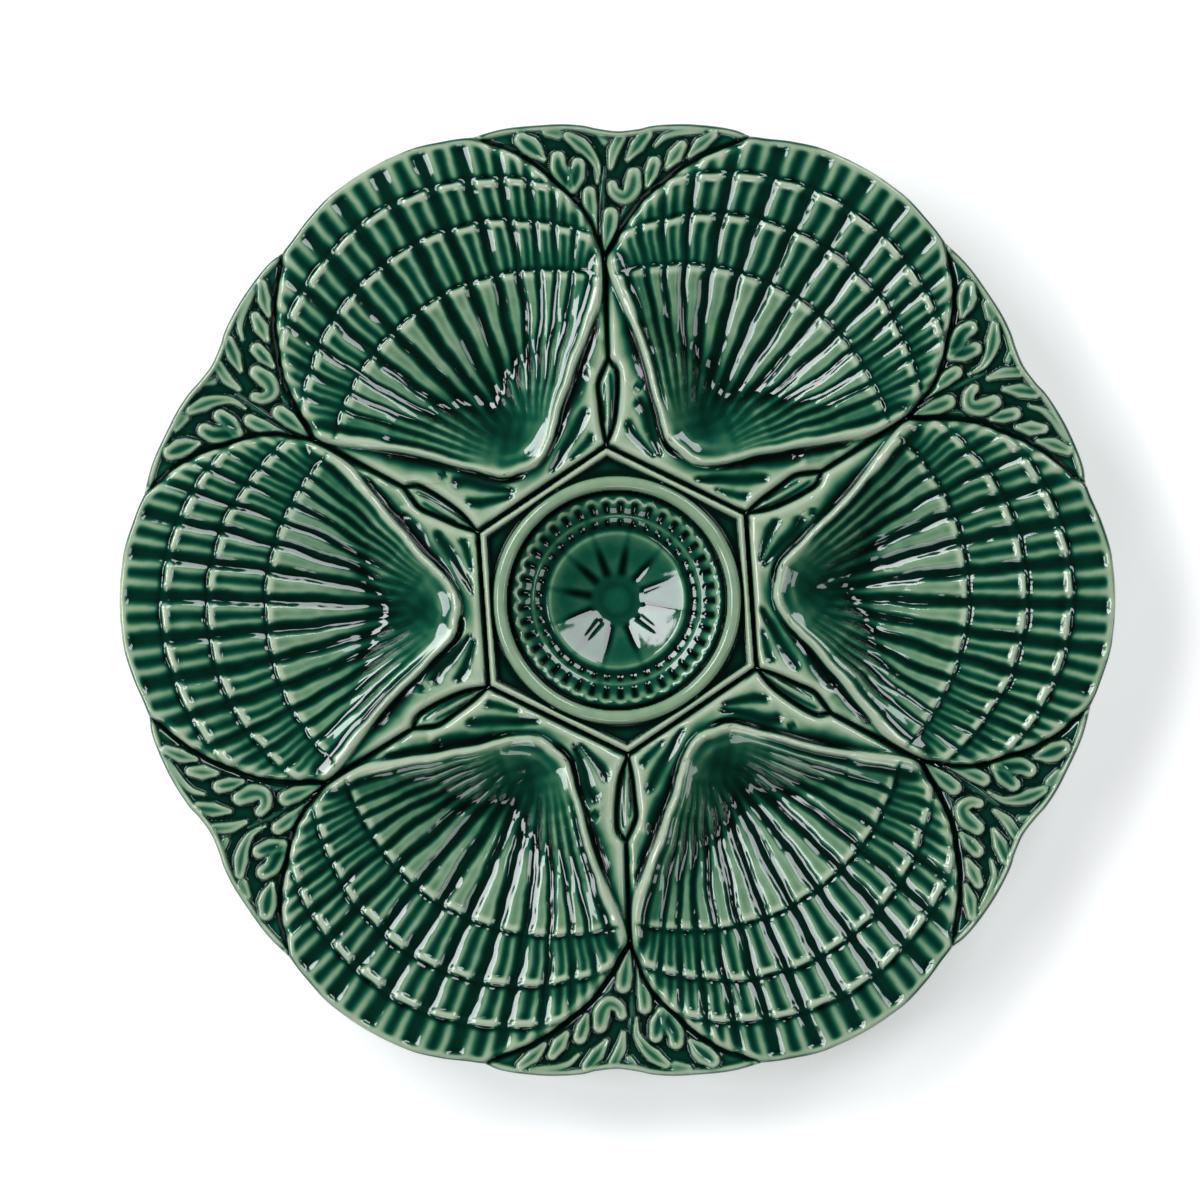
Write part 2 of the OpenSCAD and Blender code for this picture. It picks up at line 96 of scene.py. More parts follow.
def bell(value: np.ndarray, shape: Pair) -> np.ndarray:
    """Returns a bell of the given middle and half width."""
    return bump((value - shape[0]) / shape[1])


def climb(value: np.ndarray, shape: Pair) -> np.ndarray:
    """Returns a soft rise from 0 to 1 with the given start and length."""
    return smooth_step((value - shape[0]) / shape[1])


def dome(value: np.ndarray) -> np.ndarray:
    """Returns a half circle that is 1 at 0 and 0 from 1 on."""
    return np.sqrt(np.clip(1.0 - value * value, 0.0, 1.0))


def mix(low: np.ndarray, high: np.ndarray, part: np.ndarray) -> np.ndarray:
    """Returns the value between low and high at a part of the way."""
    return low + (high - low) * part


def soft_max(first: np.ndarray, second: np.ndarray, blend: float) -> np.ndarray:
    """Returns the larger value, with the two rounded into each other.

    Args:
        first: heights of one form.
        second: heights of the other.
        blend: how far apart the heights still blend.

    Returns:
        The joined heights.
    """
    part = np.clip(0.5 + 0.5 * (first - second) / blend, 0.0, 1.0)
    return mix(second, first, part) + blend * part * (1.0 - part)


def eased(x: np.ndarray, knots: Points) -> np.ndarray:
    """Reads a smooth curve that passes through its knots without overshoot.

    Args:
        x: where the curve is read.
        knots: pairs of place and value, in rising order of place.

    Returns:
        The curve's values. They stay level beyond both ends.
    """
    places = np.array([k[0] for k in knots], float)
    values = np.array([k[1] for k in knots], float)
    gaps = np.diff(places)
    rises = np.diff(values) / gaps
    slopes = np.zeros(len(places))
    slopes[0], slopes[-1] = rises[0], rises[-1]
    same = rises[:-1] * rises[1:] > 0
    inner = np.where(same, 2 * rises[:-1] * rises[1:] / np.where(same, rises[:-1] + rises[1:], 1.0), 0.0)
    slopes[1:-1] = inner
    x = np.clip(x, places[0], places[-1])
    i = np.clip(np.searchsorted(places, x) - 1, 0, len(gaps) - 1)
    t = (x - places[i]) / gaps[i]
    start = (1 + 2 * t) * (1 - t) ** 2 * values[i] + t * (1 - t) ** 2 * gaps[i] * slopes[i]
    end = t * t * (3 - 2 * t) * values[i + 1] + t * t * (t - 1) * gaps[i] * slopes[i + 1]
    return start + end


def hand_led(x: np.ndarray, y: np.ndarray, reach: np.ndarray) -> Places:
    """Shifts places a little, as a carver's hand wanders off an even pattern.

    Args:
        x: first coordinate.
        y: second coordinate.
        reach: how much of the wander there is, from 0 to 1.

    Returns:
        The shifted x and y.
    """
    dx = sum(size * np.sin(p * x + q * y + start) for size, p, q, start in HAND_WAVES)
    dy = sum(size * np.sin(q * x - p * y + 2 * start) for size, p, q, start in HAND_WAVES)
    return x + dx * reach, y + dy * reach


def polar(radius: np.ndarray, degrees: np.ndarray) -> Places:
    """Returns x and y at a radius and an angle."""
    return radius * np.cos(np.radians(degrees)), radius * np.sin(np.radians(degrees))


def turned(x: np.ndarray, y: np.ndarray, degrees: float) -> Places:
    """Returns x and y turned about the middle of the plate."""
    c, s = math.cos(math.radians(degrees)), math.sin(math.radians(degrees))
    return x * c - y * s, x * s + y * c


def rounded_path(points: Points, steps: int = 6) -> np.ndarray:
    """Rounds a path through its given points.

    Args:
        points: the path's points.
        steps: how many short pieces replace each straight one.

    Returns:
        The points of a smooth path through all of them.
    """
    p = np.array(points, float)
    p = np.vstack([2 * p[0] - p[1], p, 2 * p[-1] - p[-2]])
    out = []
    for i in range(1, len(p) - 2):
        for t in np.linspace(0, 1, steps, endpoint=False):
            a, b, c, d = p[i - 1], p[i], p[i + 1], p[i + 2]
            out.append(0.5 * (2 * b + (c - a) * t + (2 * a - 5 * b + 4 * c - d) * t ** 2
                              + (3 * b - a - 3 * c + d) * t ** 3))
    out.append(p[-2])
    return np.array(out)


def path_distance(x: np.ndarray, y: np.ndarray, path: np.ndarray) -> tuple[np.ndarray, np.ndarray]:
    """Measures how far points lie from a path.

    Args:
        x: first coordinate of the points.
        y: second coordinate of the points.
        path: the path's points in order.

    Returns:
        The distance to the path, and the share of its length at the nearest place.
    """
    lengths = np.hypot(*np.diff(path[:, :2], axis=0).T)
    total = lengths.sum()
    best = np.full(x.shape, FAR)
    share = np.zeros(x.shape)
    run = 0.0
    for (ax, ay), (bx, by), length in zip(path[:-1, :2], path[1:, :2], lengths):
        t = np.clip(((x - ax) * (bx - ax) + (y - ay) * (by - ay)) / max(length ** 2, TINY), 0, 1)
        far = np.hypot(x - ax - t * (bx - ax), y - ay - t * (by - ay))
        closer = far < best
        best = np.where(closer, far, best)
        share = np.where(closer, (run + t * length) / total, share)
        run += length
    return best, share


def read_grid(grid: np.ndarray, i: np.ndarray, j: np.ndarray) -> np.ndarray:
    """Reads a grid between its lines.

    Args:
        grid: values on the grid's crossings.
        i: place along the grid's first side, counted in lines.
        j: place along its second side, counted in lines.

    Returns:
        The value at each place. Beyond the grid it stays as at its edge.
    """
    i = np.clip(i, 0, grid.shape[0] - GRID_END)
    j = np.clip(j, 0, grid.shape[1] - GRID_END)
    p, q = i.astype(int), j.astype(int)
    u, v = i - p, j - q
    near = mix(grid[p, q], grid[p + 1, q], u)
    far = mix(grid[p, q + 1], grid[p + 1, q + 1], u)
    return mix(near, far, v)


@dataclass(frozen=True)
class Stroke:
    """One mark of the carver's tool: a ridge or a trough that follows a path.

    Attributes:
        path: given points of its middle line.
        widths: half widths along it, evenly spaced.
        height: how far it stands up, or cuts down if negative.
        dimple: depth of the hollow along its top.
    """

    path: Points
    widths: tuple[float, ...]
    height: float
    dimple: float = 0.0
    # How much of its height the stroke keeps, how square its section is, and the dimple's shape
    fullness: ClassVar[float] = 0.7
    squareness: ClassVar[float] = 1.5
    dimple_fullness: ClassVar[float] = 1.2
    dimple_half: ClassVar[float] = 0.55
    end_fade: ClassVar[float] = 0.12
    least_width: ClassVar[float] = 1e-3

    def measure(self, x: np.ndarray, y: np.ndarray) -> tuple[np.ndarray, np.ndarray, np.ndarray]:
        """Measures how points lie to the stroke.

        Args:
            x: first coordinate.
            y: second coordinate.

        Returns:
            Distance from its middle line, its half width there, and the share of its length.
        """
        line = rounded_path(self.path) if len(self.path) > 2 else np.array(self.path, float)
        far, share = path_distance(x, y, line)
        return far, np.interp(share, np.linspace(0, 1, len(self.widths)), self.widths), share

    def form(self, x: np.ndarray, y: np.ndarray) -> np.ndarray:
        """Raises or cuts the stroke.

        Args:
            x: first coordinate.
            y: second coordinate.

        Returns:
            The stroke's height at the points, 0 beside it.
        """
        far, width, _ = self.measure(x, y)
        across = far / np.maximum(width, self.least_width)
        dimple = self.dimple_fullness * self.dimple * bump(across / self.dimple_half)
        return self.fullness * self.height * dome(across ** self.squareness) - dimple

    def soft_share(self, x: np.ndarray, y: np.ndarray, spread: float = 1.0) -> np.ndarray:
        """Tells how fully the stroke is felt, with a bell-shaped section.

        Args:
            x: first coordinate.
            y: second coordinate.
            spread: its half width, as a share of the stroke's own.

        Returns:
            A share from 0 to 1 at each point.
        """
        far, width, share = self.measure(x, y)
        ends = smooth_step(share / self.end_fade) * smooth_step((1 - share) / self.end_fade)
        return bump(far / np.maximum(spread * width, self.least_width)) * ends


@dataclass(frozen=True)
class Body:
    """Sizes of the plate's body that all pieces share, in millimetres and degrees.

    Attributes:
        radius: half the width across two opposite shells.
        rim: height of the rim above the table.
        rim_thick: height of the rim's edge.
        edge_drop: how far the rim's edge is rounded down.
        underside: height of the underside in the middle.
        under_band: how far above the underside its own glaze reaches.
        hex_radius: distance of the hexagon's corners from the middle.
        hex_turn: angle of the hexagon's first corner.
        seam_turn: angle of the groove between two shells, from the leaf bud out to the fork.
        fork: distance of the fork, where the two shells part round the seaweed.
        leaf_end: distance of a leaf bud's outer end.
    """

    radius: float = 124.3
    rim: float = 21.9
    rim_thick: float = 5.0
    edge_drop: float = 1.2
    underside: float = 4.5
    under_band: float = 0.8
    hex_radius: float = 38.8
    hex_turn: float = 34.0
    seam_turn: float = 32.15
    fork: float = 85.95
    leaf_end: float = 60.5
    # Height of the grooves between the pieces, by the distance from the middle
    seam_knots: Points = ((33, 14.6), (62, 14.6), (86, 15.2), (106, 17.2), (121, 19.6))
    # Share of the underside's rise, by the distance from the middle
    under_knots: Points = ((74.6, 0), (86, 0.15), (94.5, 0.33), (104.5, 0.53), (114.4, 0.77), (121, 0.95),
                           (124.4, 1))
    # A leaf bud's sides, from its inner to its outer end: share of its length, lower and upper angle
    leaf_sides: Points = ((0, 34, 34), (0.25, 30.97, 34.94), (0.5, 30, 35.1), (0.72, 29.8, 35.1),
                          (0.88, 30.2, 33.5), (1, 32.15, 32.15))

    def seam(self, r: np.ndarray) -> np.ndarray:
        """Returns the height of the grooves between the pieces."""
        return eased(r, self.seam_knots)

    def under(self, r: np.ndarray) -> np.ndarray:
        """Returns the height of the underside."""
        return self.underside + (self.rim - self.rim_thick - self.underside) * eased(r, self.under_knots)


BODY = Body()


# Blanks and pressing


@dataclass(frozen=True)
class Blank:
    """A closed disc or ring of clay, spun from its section, before it is pressed.

    Attributes:
        around: how many steps it has round.
        out: how many rows its top has from the middle, or the inner edge, to the outer edge.
        hole: whether it is a ring.
        wall: how many rows the outer wall has.
        under: how many rows the underside has.
    """

    around: int
    out: int
    hole: bool = False
    wall: int = 3
    under: int = 8
    # A disc is spun as a ring too, from this radius on, and pressing closes its middle
    start: ClassVar[float] = 1.0

    def section(self) -> list[Pair]:
        """Lays out the section that is spun.

        Returns:
            Pairs of radius and height: the top at height 1, the underside at 0, the wall between.
        """
        top = [(self.start + i / self.out, 1.0) for i in range(self.out + 1)]
        wall = [(self.start + 1, 1 - (i + 1) / (self.wall + 1)) for i in range(self.wall)]
        low = [(self.start + 1 - i / self.under, 0.0) for i in range(self.under + 1)]
        return top + wall + low

    def spin(self, name: str) -> bpy.types.Object:
        """Spins the section into a mesh.

        Args:
            name: the piece's name.

        Returns:
            The piece, linked to the scene and still a plain blank.
        """
        bm = bmesh.new()
        points = [bm.verts.new((r, 0.0, z)) for r, z in self.section()]
        edges = [bm.edges.new(pair) for pair in zip(points, points[1:])]
        if self.hole:
            edges.append(bm.edges.new((points[-1], points[0])))
        bmesh.ops.spin(bm, geom=points + edges, cent=(0, 0, 0), axis=(0, 0, 1), dvec=(0, 0, 0),
                       angle=2 * math.pi, steps=self.around, use_merge=True, use_duplicate=False)
        mesh = bpy.data.meshes.new(name)
        bm.to_mesh(mesh)
        bm.free()
        piece = bpy.data.objects.new(name, mesh)
        bpy.context.scene.collection.objects.link(piece)
        return piece


def read_points(mesh: bpy.types.Mesh) -> np.ndarray:
    """Reads a mesh's vertex positions.

    Args:
        mesh: the mesh to read.

    Returns:
        One row for each vertex.
    """
    flat = np.empty(len(mesh.vertices) * 3, np.float32)
    mesh.vertices.foreach_get("co", flat)
    return flat.reshape(-1, 3).astype(float)


def write_points(mesh: bpy.types.Mesh, points: np.ndarray) -> None:
    """Stores vertex positions in a mesh."""
    mesh.vertices.foreach_set("co", points.astype(np.float32).ravel())
    mesh.update()


def close_mesh(mesh: bpy.types.Mesh) -> None:
    """Merges the vertices that pressing brought together and turns all faces outwards.

    Args:
        mesh: the mesh to mend, in place.
    """
    bm = bmesh.new()
    bm.from_mesh(mesh)
    bmesh.ops.remove_doubles(bm, verts=bm.verts[:], dist=MERGE_WITHIN)
    bmesh.ops.dissolve_degenerate(bm, edges=bm.edges[:], dist=MERGE_WITHIN / 10)
    bmesh.ops.recalc_face_normals(bm, faces=bm.faces[:])
    for face in bm.faces:
        face.smooth = True
    bm.to_mesh(mesh)
    bm.free()


def spread_over(outline: np.ndarray, middle: Pair, around: np.ndarray, out: np.ndarray) -> Places:
    """Lays a round blank over a closed outline.

    Args:
        outline: the outline's points.
        middle: a point inside, from which the whole outline is seen.
        around: place round the blank, 0 to 1.
        out: place from the middle to the outline, 0 to 1.

    Returns:
        x and y of the blank's points.
    """
    closed = np.vstack([outline, outline[:1]])
    run = np.concatenate([[0], np.cumsum(np.hypot(*np.diff(closed, axis=0).T))])
    at = around * run[-1]
    x, y = np.interp(at, run, closed[:, 0]), np.interp(at, run, closed[:, 1])
    return mix(middle[0], x, out), mix(middle[1], y, out)


@dataclass(frozen=True)
class Piece:
    """One kind of piece, pressed from a blank and set once or six times round the plate.

    Attributes:
        name: its node's name, without a number.
        slot: the name of its material slot, which is not used.
        blank: the blank that it is pressed from.
        count: how many of it the plate has.
        first_turn: the angle of the first one, in degrees.
        finish: what its surface is.
        least_wall: the thinnest that the clay may be, in millimetres.
        under_depth: how deep the glaze lies on its underside.
    """

    name: str = "piece"
    slot: str = "piece"
    blank: Blank = Blank(64, 16)
    count: int = 1
    first_turn: float = 0.0
    finish: Finish = Finish.MAJOLICA
    least_wall: float = 0.5
    under_depth: float = 0.36

    def plan(self, around: np.ndarray, out: np.ndarray) -> Places:
        """Lays the blank over the piece.

        Args:
            around: place round the blank, 0 to 1.
            out: place from the blank's middle, or its inner edge, to its outer edge, 0 to 1.

        Returns:
            x and y in the piece's own frame.
        """
        raise NotImplementedError

    def carved(self, x: np.ndarray, y: np.ndarray) -> Carving:
        """Carves the piece's top.

        Args:
            x: first coordinate in the piece's own frame.
            y: second coordinate in the piece's own frame.

        Returns:
            Height above the table, and the glaze that gathers there.
        """
        raise NotImplementedError

    def bottom(self, x: np.ndarray, y: np.ndarray) -> np.ndarray:
        """Returns the height of the piece's underside."""
        return BODY.under(np.hypot(x, y))

    def press(self) -> bpy.types.Object:
        """Presses the blank into the piece, in its own frame.

        Returns:
            The piece as a closed mesh, in metres.
        """
        piece = self.blank.spin(self.name)
        raw = read_points(piece.data)
        around = (np.degrees(np.arctan2(raw[:, 1], raw[:, 0])) / 360) % 1.0
        out = np.clip(np.hypot(raw[:, 0], raw[:, 1]) - self.blank.start, 0, 1)
        x, y = self.plan(around, out)
        high, _ = self.carved(x, y)
        low = np.minimum(self.bottom(x, y), high - self.least_wall)
        z = mix(low, high, raw[:, 2])
        write_points(piece.data, np.stack([x, y, z], axis=1) * MM)
        close_mesh(piece.data)
        return piece

    def set_round(self) -> dict[str, bpy.types.Object]:
        """Presses the piece and sets as many of it round the plate as there are.

        Returns:
            The pieces in their places, by the names of their nodes.
        """
        master = self.press()
        placed = {}
        for k in range(self.count):
            last = k == self.count - 1
            piece = master if last else master.copy()
            piece.data = master.data if last else master.data.copy()
            if not last:
                bpy.context.scene.collection.objects.link(piece)
            points = read_points(piece.data)
            points[:, 0], points[:, 1] = turned(points[:, 0], points[:, 1], self.first_turn + k * SECTOR)
            write_points(piece.data, points)
            node = f"{self.name}_{k + 1}" if self.count > 1 else self.name
            piece.name = f"{node}_finished"
            placed[node] = piece
        return placed

    def dress(self, piece: bpy.types.Object, node: str, relief: "Relief",
              material: bpy.types.Material) -> None:
        """Glazes one piece in its place and hands it to the frame.

        Args:
            piece: the piece.
            node: the CAD node that it stands for.
            relief: the whole plate's relief, which the glaze ran on and which gives the painted shade in its
                hollows.
            material: the piece's finish.
        """
        mesh = piece.data
        points = read_points(mesh) / MM
        under = BODY.under(np.hypot(points[:, 0], points[:, 1]))
        below = points[:, 2] < under + BODY.under_band
        # Glaze depth from the relief: pooled glaze and painted shade in the hollows
        depth = np.where(below, self.under_depth, relief.read(points[:, 0], points[:, 1]))
        attribute = mesh.attributes.new(GLAZE_AND_SHADE, "FLOAT", "POINT")
        attribute.data.foreach_set("value", np.clip(depth, 0, 1).astype(np.float32))
        mesh.materials.clear()
        mesh.materials.append(material)
        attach(piece, "root")
        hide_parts(node)
        log.info("%s: %d vertices", piece.name, len(mesh.vertices))


# The shell


@dataclass(frozen=True)
class Shell(Piece):
    """A scallop shell with its well, ribs, growth rings and ears. Its middle line lies along X."""

    name: str = "shell"
    slot: str = "shell"
    blank: Blank = Blank(430, 176)
    count: int = SHELLS
    hinge: Pair = (42.0, 1.5)
    # Fan lines are named by their angle at the hinge half way along: the ribs' and the two sides'
    ribs: tuple[float, ...] = (-46.8, -41.9, -37.1, -31.5, -24.9, -16.4, -7.4,
                               2.6, 12.4, 22.3, 31.1, 38.2, 43.4, 48.2)
    sides: Pair = (-52.8, 54.3)
    # The same direction behind the hinge, counted round the lower and round the upper side
    back: Pair = (-185.4, 174.6)
    # Angle at the hinge of both side ridges, by the distance from the hinge, and how the lines bend
    low_side: Points = ((0, -180), (2, -175), (2.4, -140), (4, -105), (6.6, -81), (10.3, -67), (15.7, -59.3),
                        (21.6, -56.3), (27.6, -54.6), (34, -54), (40.4, -53.3), (46, -52.5), (49.5, -51.5),
                        (53.8, -50.8))
    high_side: Points = ((0, 180), (2, 175), (3.2, 129), (6.6, 98), (10.2, 78.7), (15.2, 66.8), (20.6, 61),
                         (26, 57.5), (32, 55.8), (38.4, 55), (43.4, 54.8), (47.6, 54.6), (53.8, 55.2))
    bend: Points = ((0, 1.25), (10, 1.18), (16, 1.11), (24, 1.06), (32, 1.03), (40, 1), (48, 0.955),
                    (56, 0.92), (64, 0.875), (70, 0.855), (82, 0.83))
    # Outer end of a fan line, by its angle: angle at the plate's centre and radius as a share
    edge: Points = ((-52.8, -27.85, 0.691), (-50.1, -27, 0.722), (-47.6, -25.8, 0.768), (-44.2, -23.9, 0.809),
                    (-40.6, -22, 0.841), (-37.2, -20.2, 0.874), (-33.9, -18.3, 0.906), (-30.1, -16, 0.936),
                    (-28.2, -14.2, 0.953), (-26.2, -12.4, 0.974), (-17.6, -9, 0.986), (-10.4, -5, 0.997),
                    (-1.2, 0, 1), (7.8, 5, 0.997), (15.2, 9, 0.986), (21.4, 12.4, 0.973), (23.6, 13.9, 0.969),
                    (26.5, 15.4, 0.950), (30.1, 17.4, 0.927), (33.8, 19.5, 0.904), (37.8, 21.7, 0.874),
                    (41.2, 23.8, 0.843), (45.3, 26.3, 0.807), (48.5, 28.3, 0.767), (50.7, 29.6, 0.740),
                    (52.4, 30.5, 0.718), (54.3, 32.15, 0.691))
    rim_part: Pair = (-26.2, 23.6)
    rim_fade: Pair = (-3.0, 5.0)
    # Height of the well's floor, by the distance from the hinge
    bowl: Points = ((0, 7.6), (14, 7.6), (20, 8.6), (27, 10.8), (34, 13.1), (41, 15.0), (45.7, 16.2),
                    (53, 17.7), (60, 18.9), (66, 20.2), (71.3, 21.0), (76.6, 21.6), (82.4, 21.9))
    # Height of the well's wall, by the distance inwards from the pale ridge
    wall: Points = ((0, 20.0), (1.2, 19.55), (2.5, 18.75), (4.5, 17.2), (7, 15.2), (9.5, 13.2),
                    (12, 11.2), (15, 8.9), (18, 7.2), (22, 5))
    wall_blend: float = 2.0
    # How a place's fan line is sought: how far past a side at most, and in how many steps
    past_side: float = 1.3
    line_steps: int = 8
    # A power: the higher it is, the later a fan line follows its side, and a blank's column its end
    lateness: int = 4
    # In how many short lines the rim is drawn, and each stretch of the ridge and of the leaf's side
    edge_steps: int = 160
    ridge_steps: int = 5
    leaf_steps: int = 8
    # How the blank lies on the shell: the part of it that covers the fan, how far from the hinge its
    # columns start to bend, where its rows meet the growth rings, how close they crowd there, their
    # gap from the outline, and how soon behind the fan they lie evenly again
    fan_from: float = 0.13
    fan_to: float = 0.87
    straight_from: float = 7.0
    row_stops: tuple[float, ...] = (0.0, 0.40, 0.62, 0.80, 1.0)
    row_crowding: float = 0.55
    row_gap: float = 1.2
    row_evening: float = 5.0
    # Each growth ring's distance from the hinge, and how much farther off it runs at the sides
    rings: tuple[Pair, ...] = ((45.5, 2.5), (60.0, -3.0), (71.3, -6.0))
    # Height of the step at a ring, the least length of a row of bars, and the ribs' full depth
    ring_step: float = 0.5
    least_row: float = 1.0
    rib_depth: float = 0.9
    # From this spacing on, ribs are at their full depth. At the sides they lose this share of it, and
    # the last groove lies this many degrees past the side
    full_spacing: float = 8.0
    side_shallow: float = 0.35
    past_groove: float = 3.0
    # By the distance from the hinge: share of the depth, half width of a bar's top, its flank's width
    rib_fade: Points = ((9, 0), (14, 0.3), (20, 0.7), (28, 0.95), (40, 1.0))
    bar_width: Points = ((10, 0.36), (20, 0.42), (32, 0.5), (44, 0.6), (60, 0.64), (82, 0.66))
    flank: Points = ((10, 0.36), (32, 0.34), (44, 0.3), (60, 0.27), (82, 0.26))
    # For each row of bars: the hollow along their tops, the gap behind its ring, the arch before it
    troughs: tuple[float, ...] = (0.45, 0.52, 0.62)
    trough_depth: float = 0.55
    trough_half: float = 0.27
    ring_gaps: tuple[float, ...] = (0.3, 0.28, 0.2)
    ring_arches: tuple[float, ...] = (0.15, 0.15, 0.32)
    # Along the fan, counted from a ring: how far the step falls, the bar's hollow from its start to its
    # end, and the middle and half width of the arch, the gap, the glaze's pool with its painted shade, and
    # its bare line
    ring_fall: float = 1.3
    hollow_start: Pair = (0.3, 0.8)
    hollow_end: Pair = (0.8, 1.2)
    arch_bell: Pair = (-0.7, 0.8)
    gap_bell: Pair = (0.7, 0.7)
    pool_bell: Pair = (0.7, 0.6)
    bare_bell: Pair = (-0.5, 0.6)
    # Glaze that gathers in the bars' hollows, between bars and behind the rings, together with painted shade
    # there, or runs off them
    hollow_glaze_and_shade: float = 0.42
    groove_glaze_and_shade: float = 0.17
    gap_glaze_and_shade: float = 0.26
    bar_bare: float = 0.06
    arch_bare: float = 0.1
    # On the rim the ribs end at a lip, this high as a share of the ribs. Steps fade in the grooves
    lip_height: float = 0.9
    groove_step: float = 0.25
    lip: Pair = (0.7, 1.8)
    side_lip: float = 2.1
    # The rim lies farther out than this. The carver's hand wanders fully this far from the outline
    rim_from: float = 100.0
    hand_from: float = 6.0

    # The pale ridge that frames the fan, from one fork round the hinge to the other
    ridge: Points = ((74.5, -38.2), (70, -35), (66, -31), (62, -26), (58, -21.2), (54, -16.5), (50, -12),
                     (46, -8), (43, -5), (41, -2), (40.2, 1.2), (40.4, 4), (41.4, 8), (44, 11.5), (48, 15.5),
                     (52, 19.5), (56, 23.5), (60, 28), (64, 33), (67, 37), (70, 40.6), (72, 43.5))
    ridge_crest: float = 20.0
    # The fan's floor rises towards the side ridges, to this far below their crest, from this distance on
    side_drop: float = 0.8
    side_rise: Pair = (14.0, 16.0)
    # How steeply the ridge falls, over what length its points blend into the well's wall, from where
    # on and in how many rounds, and how softly the ridge meets the forms beside it
    ridge_fall: float = 0.55
    ridge_blend: float = 1.2
    ridge_soft: Pair = (1.5, 3.0)
    ridge_rounds: int = 3
    ridge_join: float = 0.4
    # Glaze on the ridge's flanks: its start and rise, its middle and half width, and how much of it
    flank_rise: Pair = (0.7, 1.3)
    flank_bell: Pair = (2.4, 2.2)
    ridge_glaze: float = 0.15
    ridge_glaze_to: float = 60.0
    ear: float = 18.4
    ear_end: float = 54.5
    ear_bare: float = 0.1
    ear_ridge_glaze: float = 0.06
    mark_from_edge: Pair = (0.0, 1.2)
    mark_from_ridge: Pair = (0.2, 1.2)
    mark_spread: float = 1.15
    mark_depth: float = 0.85
    mark_glaze: float = 0.2
    least_felt: ClassVar[float] = 1e-30
    # The carved marks on the ears, outside the ridge
    marks: tuple[Stroke, ...] = (
        Stroke(((38.7, 2.6), (39.8, 8.3), (42.9, 11.9), (46.3, 15.0), (49.1, 17.3), (53.3, 21.8),
                (55.8, 25.0), (60.3, 29.6), (64.5, 33.7)),
               (0.8, 0.9, 1.0, 1.2, 1.6, 2.4, 2.8, 2.4, 1.2), -1.25),
        Stroke(((35.9, 8.0), (38.6, 11.1), (42.0, 15.0), (44.6, 17.8), (46.3, 21.8)),
               (0.5, 1.1, 1.6, 1.7, 1.2), -1.0),
        Stroke(((35.3, 9.1), (37.0, 13.9), (38.7, 18.1), (40.6, 21.2)), (0.5, 1.1, 1.3, 1.0), -1.05),
        Stroke(((48.8, 20.8), (49.1, 23.4)), (0.9, 0.8), -0.45),
        Stroke(((38.7, 1.0), (39.3, 0.1), (42.5, -5.7), (46.9, -11.5), (50.4, -16.2), (53.0, -20.0),
                (54.6, -23.0)), (0.7, 0.8, 1.2, 1.9, 2.4, 2.4, 1.6), -1.2),
        Stroke(((52.7, -19.7), (56.5, -23.4), (60.0, -27.4), (63.4, -31.4)), (1.4, 1.2, 1.1, 0.9), -1.0),
        Stroke(((52.5, -23.5), (55.5, -27.0), (59.0, -30.2)), (1.6, 2.0, 1.4), -0.45),
        Stroke(((35.2, -0.7), (39.0, -7.2), (42.5, -13.0), (46.0, -18.5)), (0.5, 1.3, 1.6, 0.9), -1.05),
        Stroke(((36.0, -6.6), (37.3, -11.5), (39.0, -16.2)), (0.5, 1.3, 1.1), -1.0),
    )

    def side_turn(self, d: np.ndarray, low: np.ndarray) -> np.ndarray:
        """Returns the angle of the lower or the upper side ridge at a distance from the hinge."""
        return np.where(low, eased(d, self.low_side), eased(d, self.high_side))

    def fan_turn(self, a: np.ndarray, d: np.ndarray) -> np.ndarray:
        """Bends a fan line.

        Args:
            a: the line's angle half way along the fan, within the two sides.
            d: distance from the hinge.

        Returns:
            The angle at the hinge of the line's place there.
        """
        low = a < 0
        side = np.where(low, self.sides[0], self.sides[1])
        part = (a / side) ** self.lateness
        return a * mix(eased(d, self.bend), self.side_turn(d, low) / side, part)

    def line_at(self, turn: np.ndarray, d: np.ndarray) -> np.ndarray:
        """Finds the fan line that passes a place: the inverse of fan_turn.

        Args:
            turn: angle at the hinge.
            d: distance from the hinge.

        Returns:
            The line's own angle, which goes on past the side's where a place lies outside the fan.
        """
        low = turn < 0
        side = np.where(low, self.sides[0], self.sides[1])
        a = turn / eased(d, self.bend)
        for _ in range(self.line_steps):
            a = np.clip(a / side, 0, self.past_side) * side
            part = np.minimum((a / side) ** self.lateness, 1.0)
            a = 0.5 * a + 0.5 * turn / mix(eased(d, self.bend), self.side_turn(d, low) / side, part)
        return a

    def edge_path(self) -> np.ndarray:
        """Returns the shell's outline from fork to fork, round the rim."""
        a = np.linspace(self.sides[0], self.sides[1], self.edge_steps)
        return np.stack(self.edge_at(a), axis=1)

    def edge_at(self, a: np.ndarray) -> Places:
        """Finds the outer ends of fan lines.

        Args:
            a: fan lines.

        Returns:
            x and y of their ends.
        """
        turn = eased(a, tuple((e[0], e[1]) for e in self.edge))
        reach = eased(a, tuple((e[0], e[2]) for e in self.edge))
        return polar(BODY.radius * reach, turn)

    def hinge_path(self, low: bool) -> np.ndarray:
        """Follows the outline from one fork, past the leaf bud, to the middle of the hexagon's side.

        Args:
            low: whether it is the fork on the side of negative angles.

        Returns:
            The path's points.
        """
        column = 2 if low else 1
        offset = -SECTOR if low else 0.0
        length = BODY.leaf_end - BODY.hex_radius
        leaf = [polar(BODY.hex_radius + s[0] * length, s[column] + offset) for s in BODY.leaf_sides]
        fork = polar(BODY.fork, BODY.seam_turn + offset)
        corners = [polar(BODY.hex_radius, BODY.hex_turn + turn) for turn in (0.0, -SECTOR)]
        middle = np.mean(corners, axis=0)
        return np.vstack([[fork], rounded_path(tuple(leaf[::-1]), self.leaf_steps), [middle]])

    def ridge_path(self) -> np.ndarray:
        """Returns the pale ridge's middle line."""
        return rounded_path(self.ridge, self.ridge_steps)

